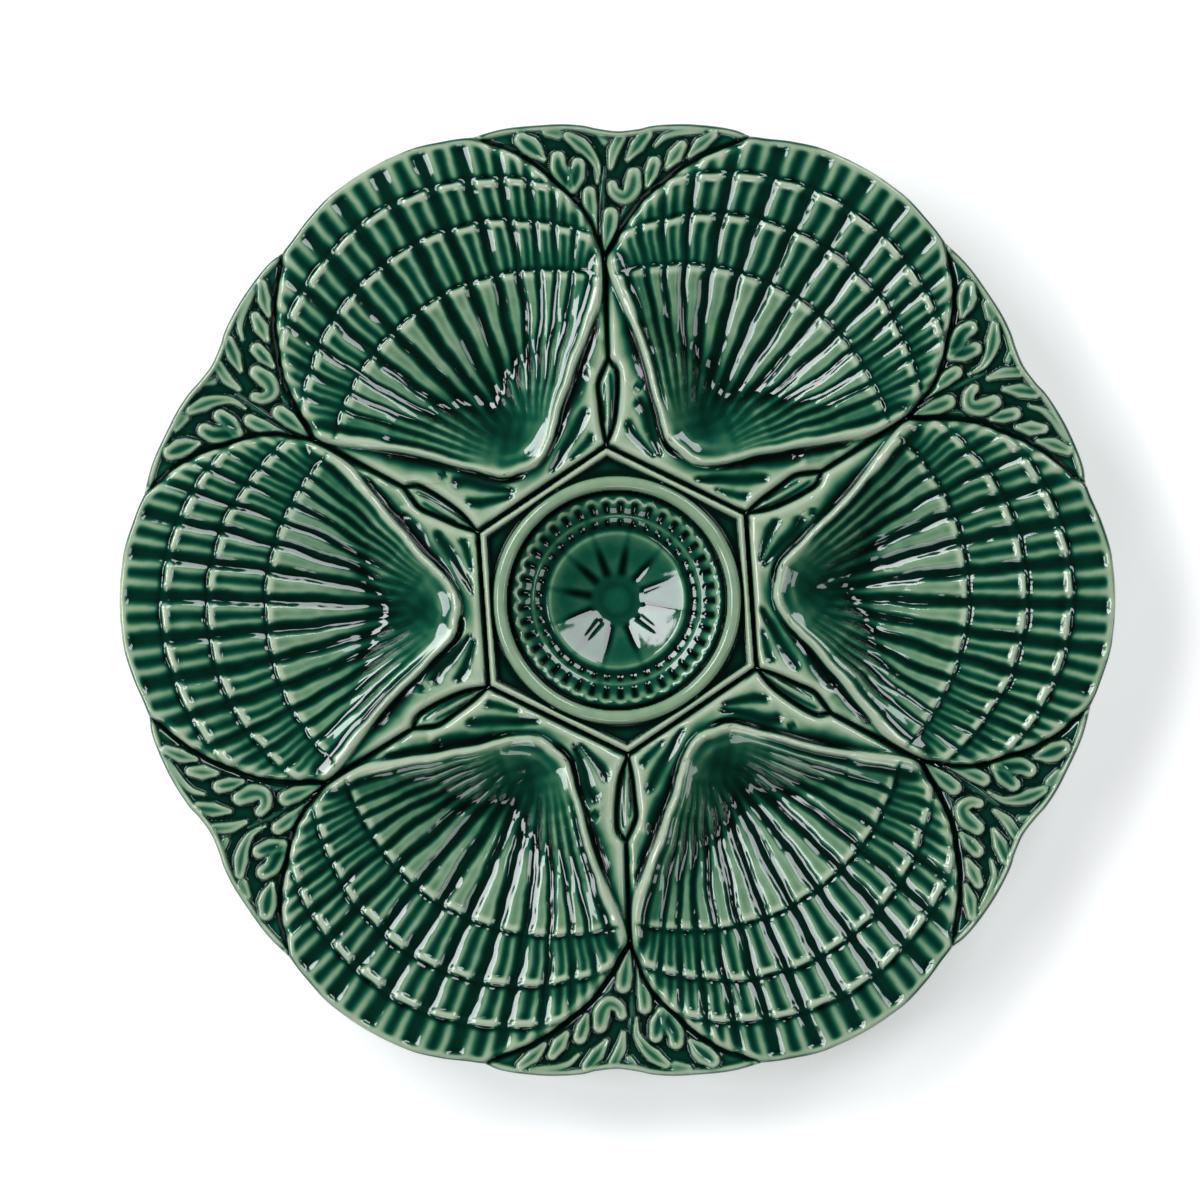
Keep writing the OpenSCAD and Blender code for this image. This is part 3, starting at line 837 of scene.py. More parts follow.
    def outline(self) -> np.ndarray:
        """Returns the closed outline of the shell."""
        low, high = self.hinge_path(True), self.hinge_path(False)
        return np.vstack([low[::-1], self.edge_path(), high])

    def plan(self, around: np.ndarray, out: np.ndarray) -> Places:
        """Lays a blank over the shell.

        Args:
            around: place round the blank, 0 to 1. Its middle three quarters cover the fan.
            out: place from the blank's middle to its edge, 0 to 1.

        Returns:
            x and y in the shell's own frame.
        """
        within = (around - self.fan_from) / (self.fan_to - self.fan_from)
        a = mix(self.sides[0], self.sides[1], np.clip(within, 0, 1))
        before = (self.fan_from - around) / self.fan_from
        after = (around - self.fan_to) / (1 - self.fan_to)
        behind = np.clip(np.where(around < 0.5, before, after), 0, 1)
        low = a < 0
        end_x, end_y = self.edge_at(a)
        for is_low in (True, False):
            path = self.hinge_path(is_low)
            run = np.concatenate([[0], np.cumsum(np.hypot(*np.diff(path, axis=0).T))])
            pick = (behind > 0) & (low == is_low)
            end_x = np.where(pick, np.interp(behind * run[-1], run, path[:, 0]), end_x)
            end_y = np.where(pick, np.interp(behind * run[-1], run, path[:, 1]), end_y)
        far = np.hypot(end_x - self.hinge[0], end_y - self.hinge[1])
        end_turn = np.degrees(np.arctan2(end_y - self.hinge[1], end_x - self.hinge[0]))
        end_turn = np.where(low & (end_turn > 90), end_turn - 360, end_turn)
        d = self.row_distance(a, far, behind, out)
        fork = np.where(low, self.low_side[-1][1], self.high_side[-1][1])
        back = np.where(low, self.back[0], self.back[1])
        swing = (end_turn - fork) / (back - fork)

        def free_turn(at: np.ndarray) -> np.ndarray:
            """Turns a column before its end is drawn to the outline.

            Args:
                at: distance from the hinge.

            Returns:
                The column's angle at the hinge.
            """
            at = np.maximum(at, self.straight_from)
            ridge = self.side_turn(at, low)
            return np.where(behind > 0, ridge + (back - ridge) * swing, self.fan_turn(a, at))

        turn = free_turn(d) + (end_turn - free_turn(far)) * (d / far) ** self.lateness
        x, y = polar(d, turn)
        return x + self.hinge[0], y + self.hinge[1]

    def row_distance(self, a: np.ndarray, far: np.ndarray, behind: np.ndarray, out: np.ndarray) -> np.ndarray:
        """Spaces a blank's rows along the fan, close together at the growth rings.

        Args:
            a: fan line.
            far: distance of the outline along that line.
            behind: how far round behind the fan, 0 within the fan and 1 at the hexagon.
            out: place from the blank's middle to its edge, 0 to 1.

        Returns:
            Distance from the hinge.
        """
        marks = [np.zeros_like(a)]
        fork_far = self.low_side[-1][0]
        for i, at in enumerate(self.ring_places(a)):
            limit = np.maximum(far, fork_far) - self.row_gap * (len(self.rings) - i)
            marks.append(np.minimum(at, limit) * np.minimum(far / fork_far, 1.0))
        marks.append(far)
        even = smooth_step(self.row_evening * behind)
        stops = self.row_stops
        marks = [mix(mark, stop * far, even) for mark, stop in zip(marks, stops)]
        d = np.zeros_like(a)
        for i in range(len(stops) - 1):
            t = np.clip((out - stops[i]) / (stops[i + 1] - stops[i]), 0, 1)
            crowd = (self.row_crowding if i else 0.0) * (1 - even)
            t = t - crowd * np.sin(2 * np.pi * t) / (2 * np.pi)
            d = np.where(out >= stops[i], mix(marks[i], marks[i + 1], t), d)
        return d

    def rib_form(self, a: np.ndarray, d: np.ndarray) -> tuple[np.ndarray, np.ndarray]:
        """Finds where a point lies across its rib.

        Args:
            a: fan line.
            d: distance from the hinge.

        Returns:
            Place across the rib, 0 at its middle and 1 at the groove's middle, and the rib's spacing.
        """
        centres = np.array((self.sides[0],) + self.ribs + (self.sides[1],))
        grooves = (centres[1:] + centres[:-1]) / 2
        i = np.searchsorted(grooves, a)
        left = np.concatenate([[centres[0] - self.past_groove], grooves])[i]
        right = np.concatenate([grooves, [centres[-1] + self.past_groove]])[i]
        middle = centres[i]
        half = np.where(a < middle, middle - left, right - middle)
        return np.abs(a - middle) / half, np.radians(right - left) * d

    def ring_places(self, a: np.ndarray) -> list[np.ndarray]:
        """Returns the distance of each growth ring along a fan line."""
        return [ring + bow * self.side_share(a) ** 2 for ring, bow in self.rings]

    def fan_carved(self, a: np.ndarray, d: np.ndarray, edge: np.ndarray, ridge: np.ndarray) -> Carving:
        """Carves the fan: bowl, ribs, growth rings.

        Args:
            a: fan line.
            d: distance from the hinge.
            edge: distance from the shell's outline.
            ridge: distance from the pale ridge.

        Returns:
            Height above the table, and the glaze that gathers in the grooves, which is also painted shade
            there.
        """
        spread = np.minimum(self.side_share(a), 1)
        base = soft_max(self.floor(d, spread), eased(ridge, self.wall), self.wall_blend)
        across, spacing = self.rib_form(a, d)
        depth = self.rib_depth * np.minimum(spacing / self.full_spacing, 1.0) * eased(d, self.rib_fade)
        depth = depth * (1 - self.side_shallow * spread ** 2)
        width, flank = eased(d, self.bar_width), eased(d, self.flank)
        bar = 1 - smooth_step((across - width + flank) / (2 * flank))
        trough, gap, step, arch, gather = self.rows(a, d, edge)
        hollow = bump(across / self.trough_half)
        rib = bar * gap - self.trough_depth * trough * hollow
        # Painted shade, besides pooled glaze, in the bars' hollows and between the bars
        gather = gather * bar + self.hollow_glaze_and_shade * trough * hollow
        gather = gather + self.groove_glaze_and_shade * (1 - bar) - self.bar_bare * bar
        held = mix(1.0, climb(edge, self.lip), self.rim_share(a))
        rib = mix(self.lip_height, rib, held)
        stepped = (step + arch) * mix(self.groove_step, 1.0, bar)
        return base + stepped * held - depth * (1 - rib), gather * held * eased(d, self.rib_fade)

    def floor(self, d: np.ndarray, spread: np.ndarray) -> np.ndarray:
        """Shapes the fan's floor: a bowl that rises towards the side ridges.

        Args:
            d: distance from the hinge.
            spread: 0 on the middle line, 1 at the side ridges.

        Returns:
            Height above the table.
        """
        bowl = eased(d, self.bowl)
        rise = np.maximum(self.ridge_crest - self.side_drop - bowl, 0) * spread ** 3
        return bowl + rise * climb(d, self.side_rise)

    def rows(self, a: np.ndarray, d: np.ndarray, edge: np.ndarray) -> tuple[np.ndarray, ...]:
        """Shapes the rows of bars between the growth rings.

        Args:
            a: fan line.
            d: distance from the hinge.
            edge: distance from the shell's outline.

        Returns:
            How deep the bars' hollows are, how high the bars stand beside the rings, the step at
            each ring, the arch before it, and the glaze that gathers along it on the bars, with painted shade
            behind each ring.
        """
        trough = np.zeros_like(d)
        gap = np.ones_like(d)
        step = np.zeros_like(d)
        arch = np.zeros_like(d)
        gather = np.zeros_like(d)
        rings = self.ring_places(a)
        ends = rings[1:] + [d + edge]
        for i, (ring, end) in enumerate(zip(rings, ends)):
            past = d - ring
            part = np.clip(past / np.maximum(end - ring, self.least_row), 0, 1)
            inside = (past > 0) & (d < end)
            step = step - self.ring_step * smooth_step(past / self.ring_fall) * inside * (1 - part)
            arch = arch + self.ring_arches[i] * bell(past, self.arch_bell)
            gap = gap * (1 - self.ring_gaps[i] * bell(past, self.gap_bell))
            opened = climb(past, self.hollow_start) * climb(end - d, self.hollow_end)
            trough = trough + self.troughs[i] * opened * inside
            # Painted shade, besides pooled glaze, in the gap behind each ring
            pool = self.gap_glaze_and_shade * bell(past, self.pool_bell)
            gather = gather + pool - self.arch_bare * bell(past, self.bare_bell)
        return trough, gap, step, arch, gather

    def side_share(self, a: np.ndarray) -> np.ndarray:
        """Returns 0 on the middle line and 1 on the side ridges."""
        return a / np.where(a < 0, self.sides[0], self.sides[1])

    def rim_share(self, a: np.ndarray) -> np.ndarray:
        """Returns 1 where a fan line ends on the plate's rim and 0 where it ends beside the seaweed."""
        return climb(a - self.rim_part[0], self.rim_fade) * climb(self.rim_part[1] - a, self.rim_fade)

    def well_side(self, x: np.ndarray, y: np.ndarray, ridge: np.ndarray) -> np.ndarray:
        """Measures how far points lie inwards from the pale ridge, with no creases in its bend.

        Args:
            x: first coordinate.
            y: second coordinate.
            ridge: plain distance from the ridge.

        Returns:
            The distance, which far from the ridge follows a soft blend of all its points.
        """
        felt = np.zeros_like(x)
        path = self.ridge_path()
        for px, py in path:
            felt = felt + np.exp(-np.hypot(x - px, y - py) / self.ridge_blend)
        spacing = np.mean(np.hypot(*np.diff(path, axis=0).T))
        rough = -self.ridge_blend * np.log(np.maximum(felt * spacing, self.least_felt))
        soft = rough
        for _ in range(self.ridge_rounds):
            crowd = np.log(2 * np.pi * self.ridge_blend * np.maximum(soft, 1))
            soft = rough + 0.5 * self.ridge_blend * crowd
        return mix(ridge, np.maximum(soft, 0), climb(ridge, self.ridge_soft))

    def carved(self, x: np.ndarray, y: np.ndarray) -> Carving:
        """Carves the shell's top, in its own frame.

        Args:
            x: first coordinate.
            y: second coordinate.

        Returns:
            The height, and the glaze that gathers there.
        """
        edge, _ = path_distance(x, y, self.outline())
        x, y = hand_led(x, y, np.minimum(edge / self.hand_from, 1))
        dx, dy = x - self.hinge[0], y - self.hinge[1]
        d = np.hypot(dx, dy)
        turn = np.degrees(np.arctan2(dy, dx))
        ridge, _ = path_distance(x, y, self.ridge_path())
        a = self.line_at(turn, d)
        low = turn < 0
        outside = (np.abs(turn) > np.abs(self.side_turn(d, low))) & (d < self.ear_end)
        fan, gather = self.fan_carved(np.clip(a, *self.sides), d, edge, self.well_side(x, y, ridge))
        z = np.where(outside, self.ear, fan)
        gather = np.where(outside, -self.ear_bare, gather)
        z = soft_max(z, self.ridge_crest - self.ridge_fall * ridge ** 2, self.ridge_join)
        slope = climb(ridge, self.flank_rise) * bell(ridge, self.flank_bell) * (d < self.ridge_glaze_to)
        gather = gather + np.where(outside, self.ear_ridge_glaze, self.ridge_glaze) * slope
        clear = climb(edge, self.mark_from_edge) * climb(ridge, self.mark_from_ridge)
        for mark in self.marks:
            share = mark.soft_share(x, y, self.mark_spread) * clear
            z = z + self.mark_depth * mark.height * share
            gather = gather - self.mark_glaze * mark.height * share
        return self.edge_round(x, y, a, edge, z), gather

    def edge_round(self, x: np.ndarray, y: np.ndarray, a: np.ndarray, edge: np.ndarray,
                   z: np.ndarray) -> np.ndarray:
        """Rounds the outline over, down to the rim's edge or to the groove beside the shell.

        Args:
            x: first coordinate in the shell's frame.
            y: second coordinate in the shell's frame.
            a: fan line.
            edge: distance from the outline.
            z: height before rounding.

        Returns:
            Height after rounding.
        """
        r = np.hypot(x, y)
        on_rim = self.rim_share(a) * (r > self.rim_from)
        foot = mix(BODY.seam(r), BODY.rim - BODY.edge_drop, on_rim)
        reach = mix(self.side_lip, BODY.edge_drop, on_rim)
        return foot + (z - foot) * dome(1 - np.clip(edge / reach, 0, 1))


SHELL = Shell()


# Seaweed and leaf buds lie in the frame of the line between two shells: X runs out along it


@dataclass(frozen=True)
class Seaweed(Piece):
    """A spray of seaweed between two shells, out to the dip in the rim."""

    name: str = "seaweed"
    slot: str = "seaweed"
    blank: Blank = Blank(360, 90)
    count: int = SHELLS
    first_turn: float = SECTOR / 2
    # The blank's middle, the depth of the rim's dip, and how the ground rises from the borders' grooves
    middle: Pair = (104.0, 1.0)
    notch: float = 3.6
    ground_rise: float = 0.5
    ground_over: float = 1.5
    # How round the rim's edge and the borders are, and how far from the rim the borders' grooves start
    rim_round: float = 1.0
    border_round: float = 1.0
    border_start: float = 2.0
    border_steps: int = 60
    rim_steps: int = 90
    pad_blend: float = 0.35
    # The rim's lip: how far below the rim it lies, how far it sinks into the ground, where, how softly
    lip_drop: float = 0.9
    lip_sink: float = 1.0
    lip_fall: Pair = (0.8, 2.2)
    lip_blend: float = 0.5
    pad_glaze: float = 0.14
    # Depth of the rim's dip as a share of the notch, by the place along it
    dip: Points = ((0, 0), (0.06, -0.15), (0.21, 0.07), (0.27, 0.23), (0.36, 0.55), (0.40, 0.8), (0.478, 1),
                   (0.552, 0.8), (0.60, 0.55), (0.685, 0.3), (0.745, 0.21), (0.91, -0.04), (1, 0))
    lumps: tuple[Stroke, ...] = (
        Stroke(((87.5, 3.2), (91, 2.4), (94, 1.9), (96.4, 1.6)), (0.5, 1.5, 2.4, 2.3), 2.9, 0.4),
        Stroke(((91.5, 5.4), (96, 6.3), (99, 6.8), (101.8, 7.0)), (0.6, 1.4, 2.2, 2.0), 2.8, 0.4),
        Stroke(((103.2, 11.4), (105.8, 10.2), (108.8, 9.7)), (2.0, 2.5, 2.1), 2.9, 0.5),
        Stroke(((103.0, 11.8), (106, 13.4), (108.2, 14.6), (110.3, 14.8)), (1.8, 2.8, 2.6, 2.2), 3.0, 0.6),
        Stroke(((110.2, 18.4), (112.4, 20.6), (114.9, 23.8)), (0.9, 2.4, 3.0, 2.2), 2.9, 0.6),
        Stroke(((116.4, 14.6), (116.9, 17.8)), (1.6, 1.2), 1.8, 0.2),
        Stroke(((104.5, 4.9), (108.5, 5.0), (112, 7.2), (114.4, 10), (115.9, 12.2)),
               (0.5, 1.0, 1.6, 2.2, 1.4), 2.4, 0.4),
        Stroke(((114.6, 3.0), (116.4, 4.4)), (1.2, 1.2), 1.5),
        Stroke(((108.2, 1.6), (112, 0.9), (115.6, -0.9)), (0.8, 1.7, 1.7), 2.3, 0.3),
        Stroke(((110.2, -2.7), (113.2, -4.8), (116.4, -7.4)), (0.8, 2.2, 1.8), 2.4, 0.4),
        Stroke(((103.7, 1.2), (101.8, 0.4), (100.8, -1.9), (102.8, -3.7), (106.3, -4.3)),
               (1.5, 1.9, 2.3, 2.7, 2.2), 3.0, 0.4),
        Stroke(((103.8, -7.6), (106.8, -8.5), (109.2, -9.3)), (0.9, 2.1, 2.0), 2.8, 0.5),
        Stroke(((108.4, -12.6), (111.2, -14.6), (113.6, -16.2)), (1.0, 2.3, 1.5), 2.7, 0.4),
        Stroke(((111, -18.2), (113.5, -20.5), (116.2, -24.0)), (0.9, 2.1, 1.4), 2.5, 0.4),
        Stroke(((113.6, -9.6), (116, -12.4), (116.9, -16.5), (117.0, -21.5)), (0.6, 1.1, 1.1, 0.8), 1.6),
        Stroke(((95.5, -0.8), (98, -2.2), (100, -5.0)), (0.4, 0.6, 0.4), 1.0),
        Stroke(((88, 4.6), (91, 4.4), (99, 4.0), (108, 3.2)), (0.4, 0.6, 0.8, 0.5), 1.0),
    )

    def low_path(self) -> np.ndarray:
        """Returns the border with the shell below the line, from the fork out to the rim."""
        x, y = SHELL.edge_at(np.linspace(SHELL.sides[1], SHELL.rim_part[1], self.border_steps))
        return np.stack(turned(x, y, -SECTOR / 2), axis=1)

    def high_path(self) -> np.ndarray:
        """Returns the border with the shell above the line, from the fork out to the rim."""
        x, y = SHELL.edge_at(np.linspace(SHELL.sides[0], SHELL.rim_part[0], self.border_steps))
        return np.stack(turned(x, y, SECTOR / 2), axis=1)

    def rim_path(self) -> np.ndarray:
        """Draws the dipped rim.

        Returns:
            Its points, from the lower to the upper border.
        """
        low, high = self.low_path()[-1], self.high_path()[-1]
        part = np.linspace(0, 1, self.rim_steps)
        r = mix(np.hypot(*low), np.hypot(*high), part) - self.notch * eased(part, self.dip)
        turn = mix(math.degrees(math.atan2(low[1], low[0])), math.degrees(math.atan2(high[1], high[0])), part)
        return np.stack(polar(r, turn), axis=1)

    def outline(self) -> np.ndarray:
        """Returns the closed outline: lower border, rim, upper border."""
        return np.vstack([self.low_path(), self.rim_path()[1:], self.high_path()[::-1][1:]])

    def plan(self, around: np.ndarray, out: np.ndarray) -> Places:
        """Lays the blank over the spray."""
        return spread_over(self.outline(), self.middle, around, out)

    def carved(self, x: np.ndarray, y: np.ndarray) -> Carving:
        """Carves the spray: its ground, its pads and the raised rim.

        Args:
            x: first coordinate in the frame of the line.
            y: second coordinate in the frame of the line.

        Returns:
            Height above the table, and the glaze that gathers on the pads.
        """
        r = np.hypot(x, y)
        low, high = (path_distance(x, y, path)[0] for path in (self.low_path(), self.high_path()))
        borders = np.minimum(low, high)
        rim, _ = path_distance(x, y, self.rim_path())
        ground = BODY.seam(r) + self.ground_rise * smooth_step(borders / self.ground_over)
        z = ground
        gather = np.zeros_like(z)
        for lump in self.lumps:
            z = soft_max(z, ground + lump.form(x, y), self.pad_blend)
            gather = gather + self.pad_glaze * lump.dimple * lump.soft_share(x, y)
        lip = BODY.rim - self.lip_drop
        z = soft_max(z, mix(lip, ground - self.lip_sink, climb(rim, self.lip_fall)), self.lip_blend)
        z = np.minimum(z, BODY.rim)
        edge = lip - BODY.edge_drop
        z = edge + (z - edge) * dome(1 - np.clip(rim / self.rim_round, 0, 1))
        seam = BODY.seam(r)
        rounded = seam + (z - seam) * dome(1 - np.clip(borders / self.border_round, 0, 1))
        return mix(z, rounded, smooth_step(rim / self.border_start)), gather


@dataclass(frozen=True)
class LeafBud(Piece):
    """A leaf bud between the ears of two shells."""

    name: str = "leaf_bud"
    slot: str = "leaf_bud"
    blank: Blank = Blank(200, 30)
    count: int = SHELLS
    first_turn: float = SECTOR / 2
    middle: Pair = (50.0, 2.3)
    # How high the bud stands over the grooves round it, and how broad its rounded side is
    rise: float = 3.0
    shoulder: float = 2.1
    vein_from_edge: float = 0.8
    vein_glaze: float = 0.9
    veins: tuple[Stroke, ...] = (
        Stroke(((41.5, 2.1), (47, 1.5), (53, 1.4), (58, 1.8)), (0.4, 0.6, 0.5), -0.3),
        Stroke(((44, 3.1), (49, 3.2), (55, 3.1)), (0.4, 0.55, 0.4), -0.25),
    )

    def outline(self) -> np.ndarray:
        """Draws the almond.

        Returns:
            The points of its closed outline.
        """
        x, y = SHELL.hinge_path(False)[1:-1].T
        low = np.stack(turned(x, y, -SECTOR / 2), axis=1)
        x, y = SHELL.hinge_path(True)[1:-1].T
        high = np.stack(turned(x, y, SECTOR / 2), axis=1)
        return np.vstack([low, high[::-1][1:]])

    def plan(self, around: np.ndarray, out: np.ndarray) -> Places:
        """Lays the blank over the bud."""
        return spread_over(self.outline(), self.middle, around, out)

    def carved(self, x: np.ndarray, y: np.ndarray) -> Carving:
        """Carves the bud and its veins.

        Args:
            x: first coordinate in the frame of the line.
            y: second coordinate in the frame of the line.

        Returns:
            Height above the table, and the glaze that gathers in the veins.
        """
        edge, _ = path_distance(x, y, self.outline())
        seam = BODY.seam(np.hypot(x, y))
        z = seam + self.rise * dome(1 - np.clip(edge / self.shoulder, 0, 1))
        gather = np.zeros_like(z)
        for vein in self.veins:
            share = vein.soft_share(x, y) * smooth_step(edge / self.vein_from_edge)
            z = z + vein.height * share
            gather = gather - self.vein_glaze * vein.height * share
        return z, gather


SEAWEED = Seaweed()
LEAF = LeafBud()


# Collar, cup and foot


@dataclass(frozen=True)
class Collar(Piece):
    """The hexagonal collar with its smooth ring."""

    name: str = "sauce_collar"
    slot: str = "sauce_collar"
    blank: Blank = Blank(600, 80, hole=True)
    inner: float = 27.2
    # The smooth ring: distance and half width, height of its crest and of its foot beside the cup
    ring_middle: float = 29.4
    ring_half: float = 2.0
    ring_crest: float = 20.0
    ring_foot: float = 17.2
    # The floor round the ring, and the ridge on it along the hexagon's sides
    floor: float = 16.4
    ridge_from_side: float = 1.35
    ridge_half: float = 0.95
    ridge_crest: float = 18.6
    ridge_blend: float = 0.2
    side_fall: float = 0.9
    # How far the ring's outer foot goes into the floor, how softly, how square its section is
    ring_sink: float = 0.5
    ring_blend: float = 0.3
    ring_squareness: float = 1.3
    # Glaze on the ring, up to this many half widths from its middle line, and how fast it ends there
    ring_glaze: float = 0.14
    ring_glaze_to: float = 1.3
    ring_glaze_end: float = 0.5

    def apothem(self) -> float:
        """Returns the distance from the plate's middle to a side of the hexagon."""
        return BODY.hex_radius * math.cos(math.radians(SECTOR / 2))

    def side_distance(self, x: np.ndarray, y: np.ndarray) -> np.ndarray:
        """Measures the distance inwards from the nearest side of the hexagon.

        Args:
            x: first coordinate.
            y: second coordinate.

        Returns:
            The distance, negative outside the hexagon.
        """
        turn = np.degrees(np.arctan2(y, x)) - BODY.hex_turn + SECTOR / 2
        off = turn - SECTOR * np.round(turn / SECTOR)
        return self.apothem() - np.hypot(x, y) * np.cos(np.radians(off))

    def plan(self, around: np.ndarray, out: np.ndarray) -> Places:
        """Lays the ring from the cup's wall out to the hexagon.

        Args:
            around: place round the ring, 0 to 1.
            out: place from its inner to its outer edge, 0 to 1.

        Returns:
            x and y of the ring's points.
        """
        turn = around * 360
        off = turn - BODY.hex_turn + SECTOR / 2
        off = off - SECTOR * np.round(off / SECTOR)
        reach = self.apothem() / np.cos(np.radians(off))
        return polar(mix(self.inner, reach, out), turn)

    def carved(self, x: np.ndarray, y: np.ndarray) -> Carving:
        """Carves the collar: floor, ridge along the hexagon, smooth ring.

        Args:
            x: first coordinate.
            y: second coordinate.

        Returns:
            Height above the table, and the glaze that stays on the smooth ring.
        """
        r = np.hypot(x, y)
        side = self.side_distance(x, y)
        z = mix(BODY.seam(r), self.floor, smooth_step(side / self.side_fall))
        off = (side - self.ridge_from_side) / self.ridge_half
        ridge = self.floor + (self.ridge_crest - self.floor) * dome(off)
        z = soft_max(z, np.where(np.abs(off) < 1, ridge, z), self.ridge_blend)
        across = np.abs(r - self.ring_middle) / self.ring_half
        foot = np.where(r < self.ring_middle, self.ring_foot, self.floor - self.ring_sink)
        ring = foot + (self.ring_crest - foot) * dome(across ** self.ring_squareness)
        z = soft_max(z, np.where(across < 1, ring, z), self.ring_blend)
        return z, self.ring_glaze * smooth_step((self.ring_glaze_to - across) / self.ring_glaze_end)


@dataclass(frozen=True)
class SauceCup(Piece):
    """The sauce cup: its border, two rows of slots and the disc of petals."""

    name: str = "sauce_cup"
    slot: str = "sauce_cup"
    blank: Blank = Blank(700, 118)
    radius: float = 27.2
    # Height of the cup's inside, by the distance from the middle
    profile: Points = ((0, 8.5), (3.5, 8.6), (5.4, 9.0), (7.2, 9.7), (16.3, 13.2), (16.9, 13.4), (17.4, 13.3),
                       (18.2, 13.1), (18.8, 13.2), (20.6, 14.1), (21.1, 14.5), (21.6, 14.7), (25.0, 16.8),
                       (26.0, 17.4), (26.6, 17.4), (27.2, 17.0))
    # Angles of the grooves between petals, where they start and end, their half widths there
    petals: tuple[float, ...] = (20.7, 49.5, 80, 110.7, 137.7, 170, 200.7, 231, 258, 291.6, 322, 351)
    petal_from: float = 6.4
    petal_to: float = 16.6
    petal_gap: Pair = (0.95, 0.8)
    petal_depth: float = 0.2
    # Outwards the grooves lose this share of their depth, from this place on and over this length
    petal_loss: float = 0.85
    petal_fade: Pair = (0.35, 0.5)
    # Glaze that runs off the hub, the disc and the field of the arches, a painted highlight on the band
    # between the slots, and glaze that pools on the border, between petals and in slots
    hub_half: float = 5.5
    hub_bare: float = 0.06
    disc_bell: Pair = (7.8, 3.0)
    disc_bare: float = 0.08
    border_pool: float = 0.05
    pool_rise: Pair = (15.6, 1.5)
    petal_glaze: float = 0.4
    slot_glaze: float = 0.45
    border_glaze: float = 0.14
    band_bell: Pair = (20.4, 0.9)
    band_painted_highlight: float = 0.2
    field_bell: Pair = (-0.7, 1.1)
    field_bare: float = 0.05
    # Each row of slots: count, inner and outer radius, half widths there, depth
    slot_rows: tuple[tuple[float, ...], ...] = ((37, 18.6, 20.5, 0.6, 0.72, 0.25),
                                                (41, 21.7, 24.9, 0.6, 0.95, 0.3))
    slot_end: Pair = (-0.2, 0.8)
    slot_sharpness: float = 1.5
    # The border's arches: count, middle distance, swing, rise, and how broad their flank is
    arches: int = 41
    arch_middle: float = 25.4
    arch_swing: float = 0.35
    arch_rise: float = 0.15
    arch_flank: float = 0.5

    def plan(self, around: np.ndarray, out: np.ndarray) -> Places:
        """Lays the blank over the cup."""
        return polar(self.radius * out, around * 360)

    def carved(self, x: np.ndarray, y: np.ndarray) -> Carving:
        """Carves the cup's inside: disc of petals, rows of slots, border of arches.

        Args:
            x: first coordinate.
            y: second coordinate.

        Returns:
            Height above the table, and the glaze that gathers in the grooves, less a painted highlight on the
            band between the slot rows.
        """
        r = np.hypot(x, y)
        turn = np.degrees(np.arctan2(y, x)) % 360
        grooves, (slots, cut) = self.petal_grooves(r, turn), self.slots(r, turn)
        z = eased(r, self.profile) - self.petal_depth * grooves - cut
        gather = self.border_pool * climb(r, self.pool_rise)
        gather = gather - self.hub_bare * bump(r / self.hub_half) - self.disc_bare * bell(r, self.disc_bell)
        gather = gather + self.petal_glaze * grooves + self.slot_glaze * slots
        wave = np.cos(np.radians(turn * self.arches))
        past = r - self.arch_middle - self.arch_swing * wave
        border = smooth_step(past / self.arch_flank)
        field = bell(past, self.field_bell)
        # The pale band between the slot rows is a painted highlight; the arches' field runs pale with thin
        # glaze
        pale = self.band_painted_highlight * bell(r, self.band_bell) + self.field_bare * field
        return z + self.arch_rise * (field - border), gather - pale + self.border_glaze * border

    def petal_grooves(self, r: np.ndarray, turn: np.ndarray) -> np.ndarray:
        """Cuts the grooves between the petals.

        Args:
            r: distance from the plate's middle.
            turn: angle there, in degrees.

        Returns:
            How fully a groove is felt, from 0 to 1.
        """
        grooves = np.zeros_like(r)
        for petal in self.petals:
            off = np.radians((turn - petal + 180) % 360 - 180) * r
            along = np.clip((r - self.petal_from) / (self.petal_to - self.petal_from), 0, 1)
            half = mix(self.petal_gap[0], self.petal_gap[1], along)
            inner = np.hypot(off, np.minimum(r - self.petal_from - half, 0))
            fade = 1 - self.petal_loss * climb(along, self.petal_fade)
            grooves = grooves + fade * bump(inner / half)
        return grooves

    def slots(self, r: np.ndarray, turn: np.ndarray) -> tuple[np.ndarray, np.ndarray]:
        """Cuts the rows of slots round the disc.

        Args:
            r: distance from the plate's middle.
            turn: angle there, in degrees.

        Returns:
            How fully a slot is felt, from 0 to 1, and how deep it is.
        """
        felt = np.zeros_like(r)
        cut = np.zeros_like(r)
        for count, start, end, narrow, broad, depth in self.slot_rows:
            step = 360 / count
            off = np.radians((turn + step / 2) % step - step / 2) * r
            along = np.clip((r - start) / (end - start), 0, 1)
            ends = climb(r - start, self.slot_end) * climb(end - r, self.slot_end)
            slot = ends * bump(off / mix(narrow, broad, along)) ** self.slot_sharpness
            felt = felt + slot
            cut = cut + depth * slot
        return felt, cut


@dataclass(frozen=True)
class FootRing(Piece):
    """The foot ring under the plate."""

    name: str = "foot_ring"
    slot: str = "foot_ring"
    blank: Blank = Blank(240, 12, hole=True, under=12)
    finish: Finish = Finish.BISQUE
    outer: float = 64.0
    width: float = 6.0
    rounding: float = 1.2

    def plan(self, around: np.ndarray, out: np.ndarray) -> Places:
        """Lays the ring under the plate."""
        return polar(self.outer - self.width * (1 - out), around * 360)

    def carved(self, x: np.ndarray, y: np.ndarray) -> Carving:
        """Returns the level seat under the plate, with no glaze gathered."""
        return np.full(x.shape, BODY.underside), np.zeros(x.shape)

    def bottom(self, x: np.ndarray, y: np.ndarray) -> np.ndarray:
        """Returns the height of the rounded foot."""
        side = self.width / 2 - np.abs(np.hypot(x, y) - self.outer + self.width / 2)
        return self.rounding * (1 - dome(1 - np.clip(side / self.rounding, 0, 1)))


COLLAR = Collar()
CUP = SauceCup()
FOOT = FootRing()


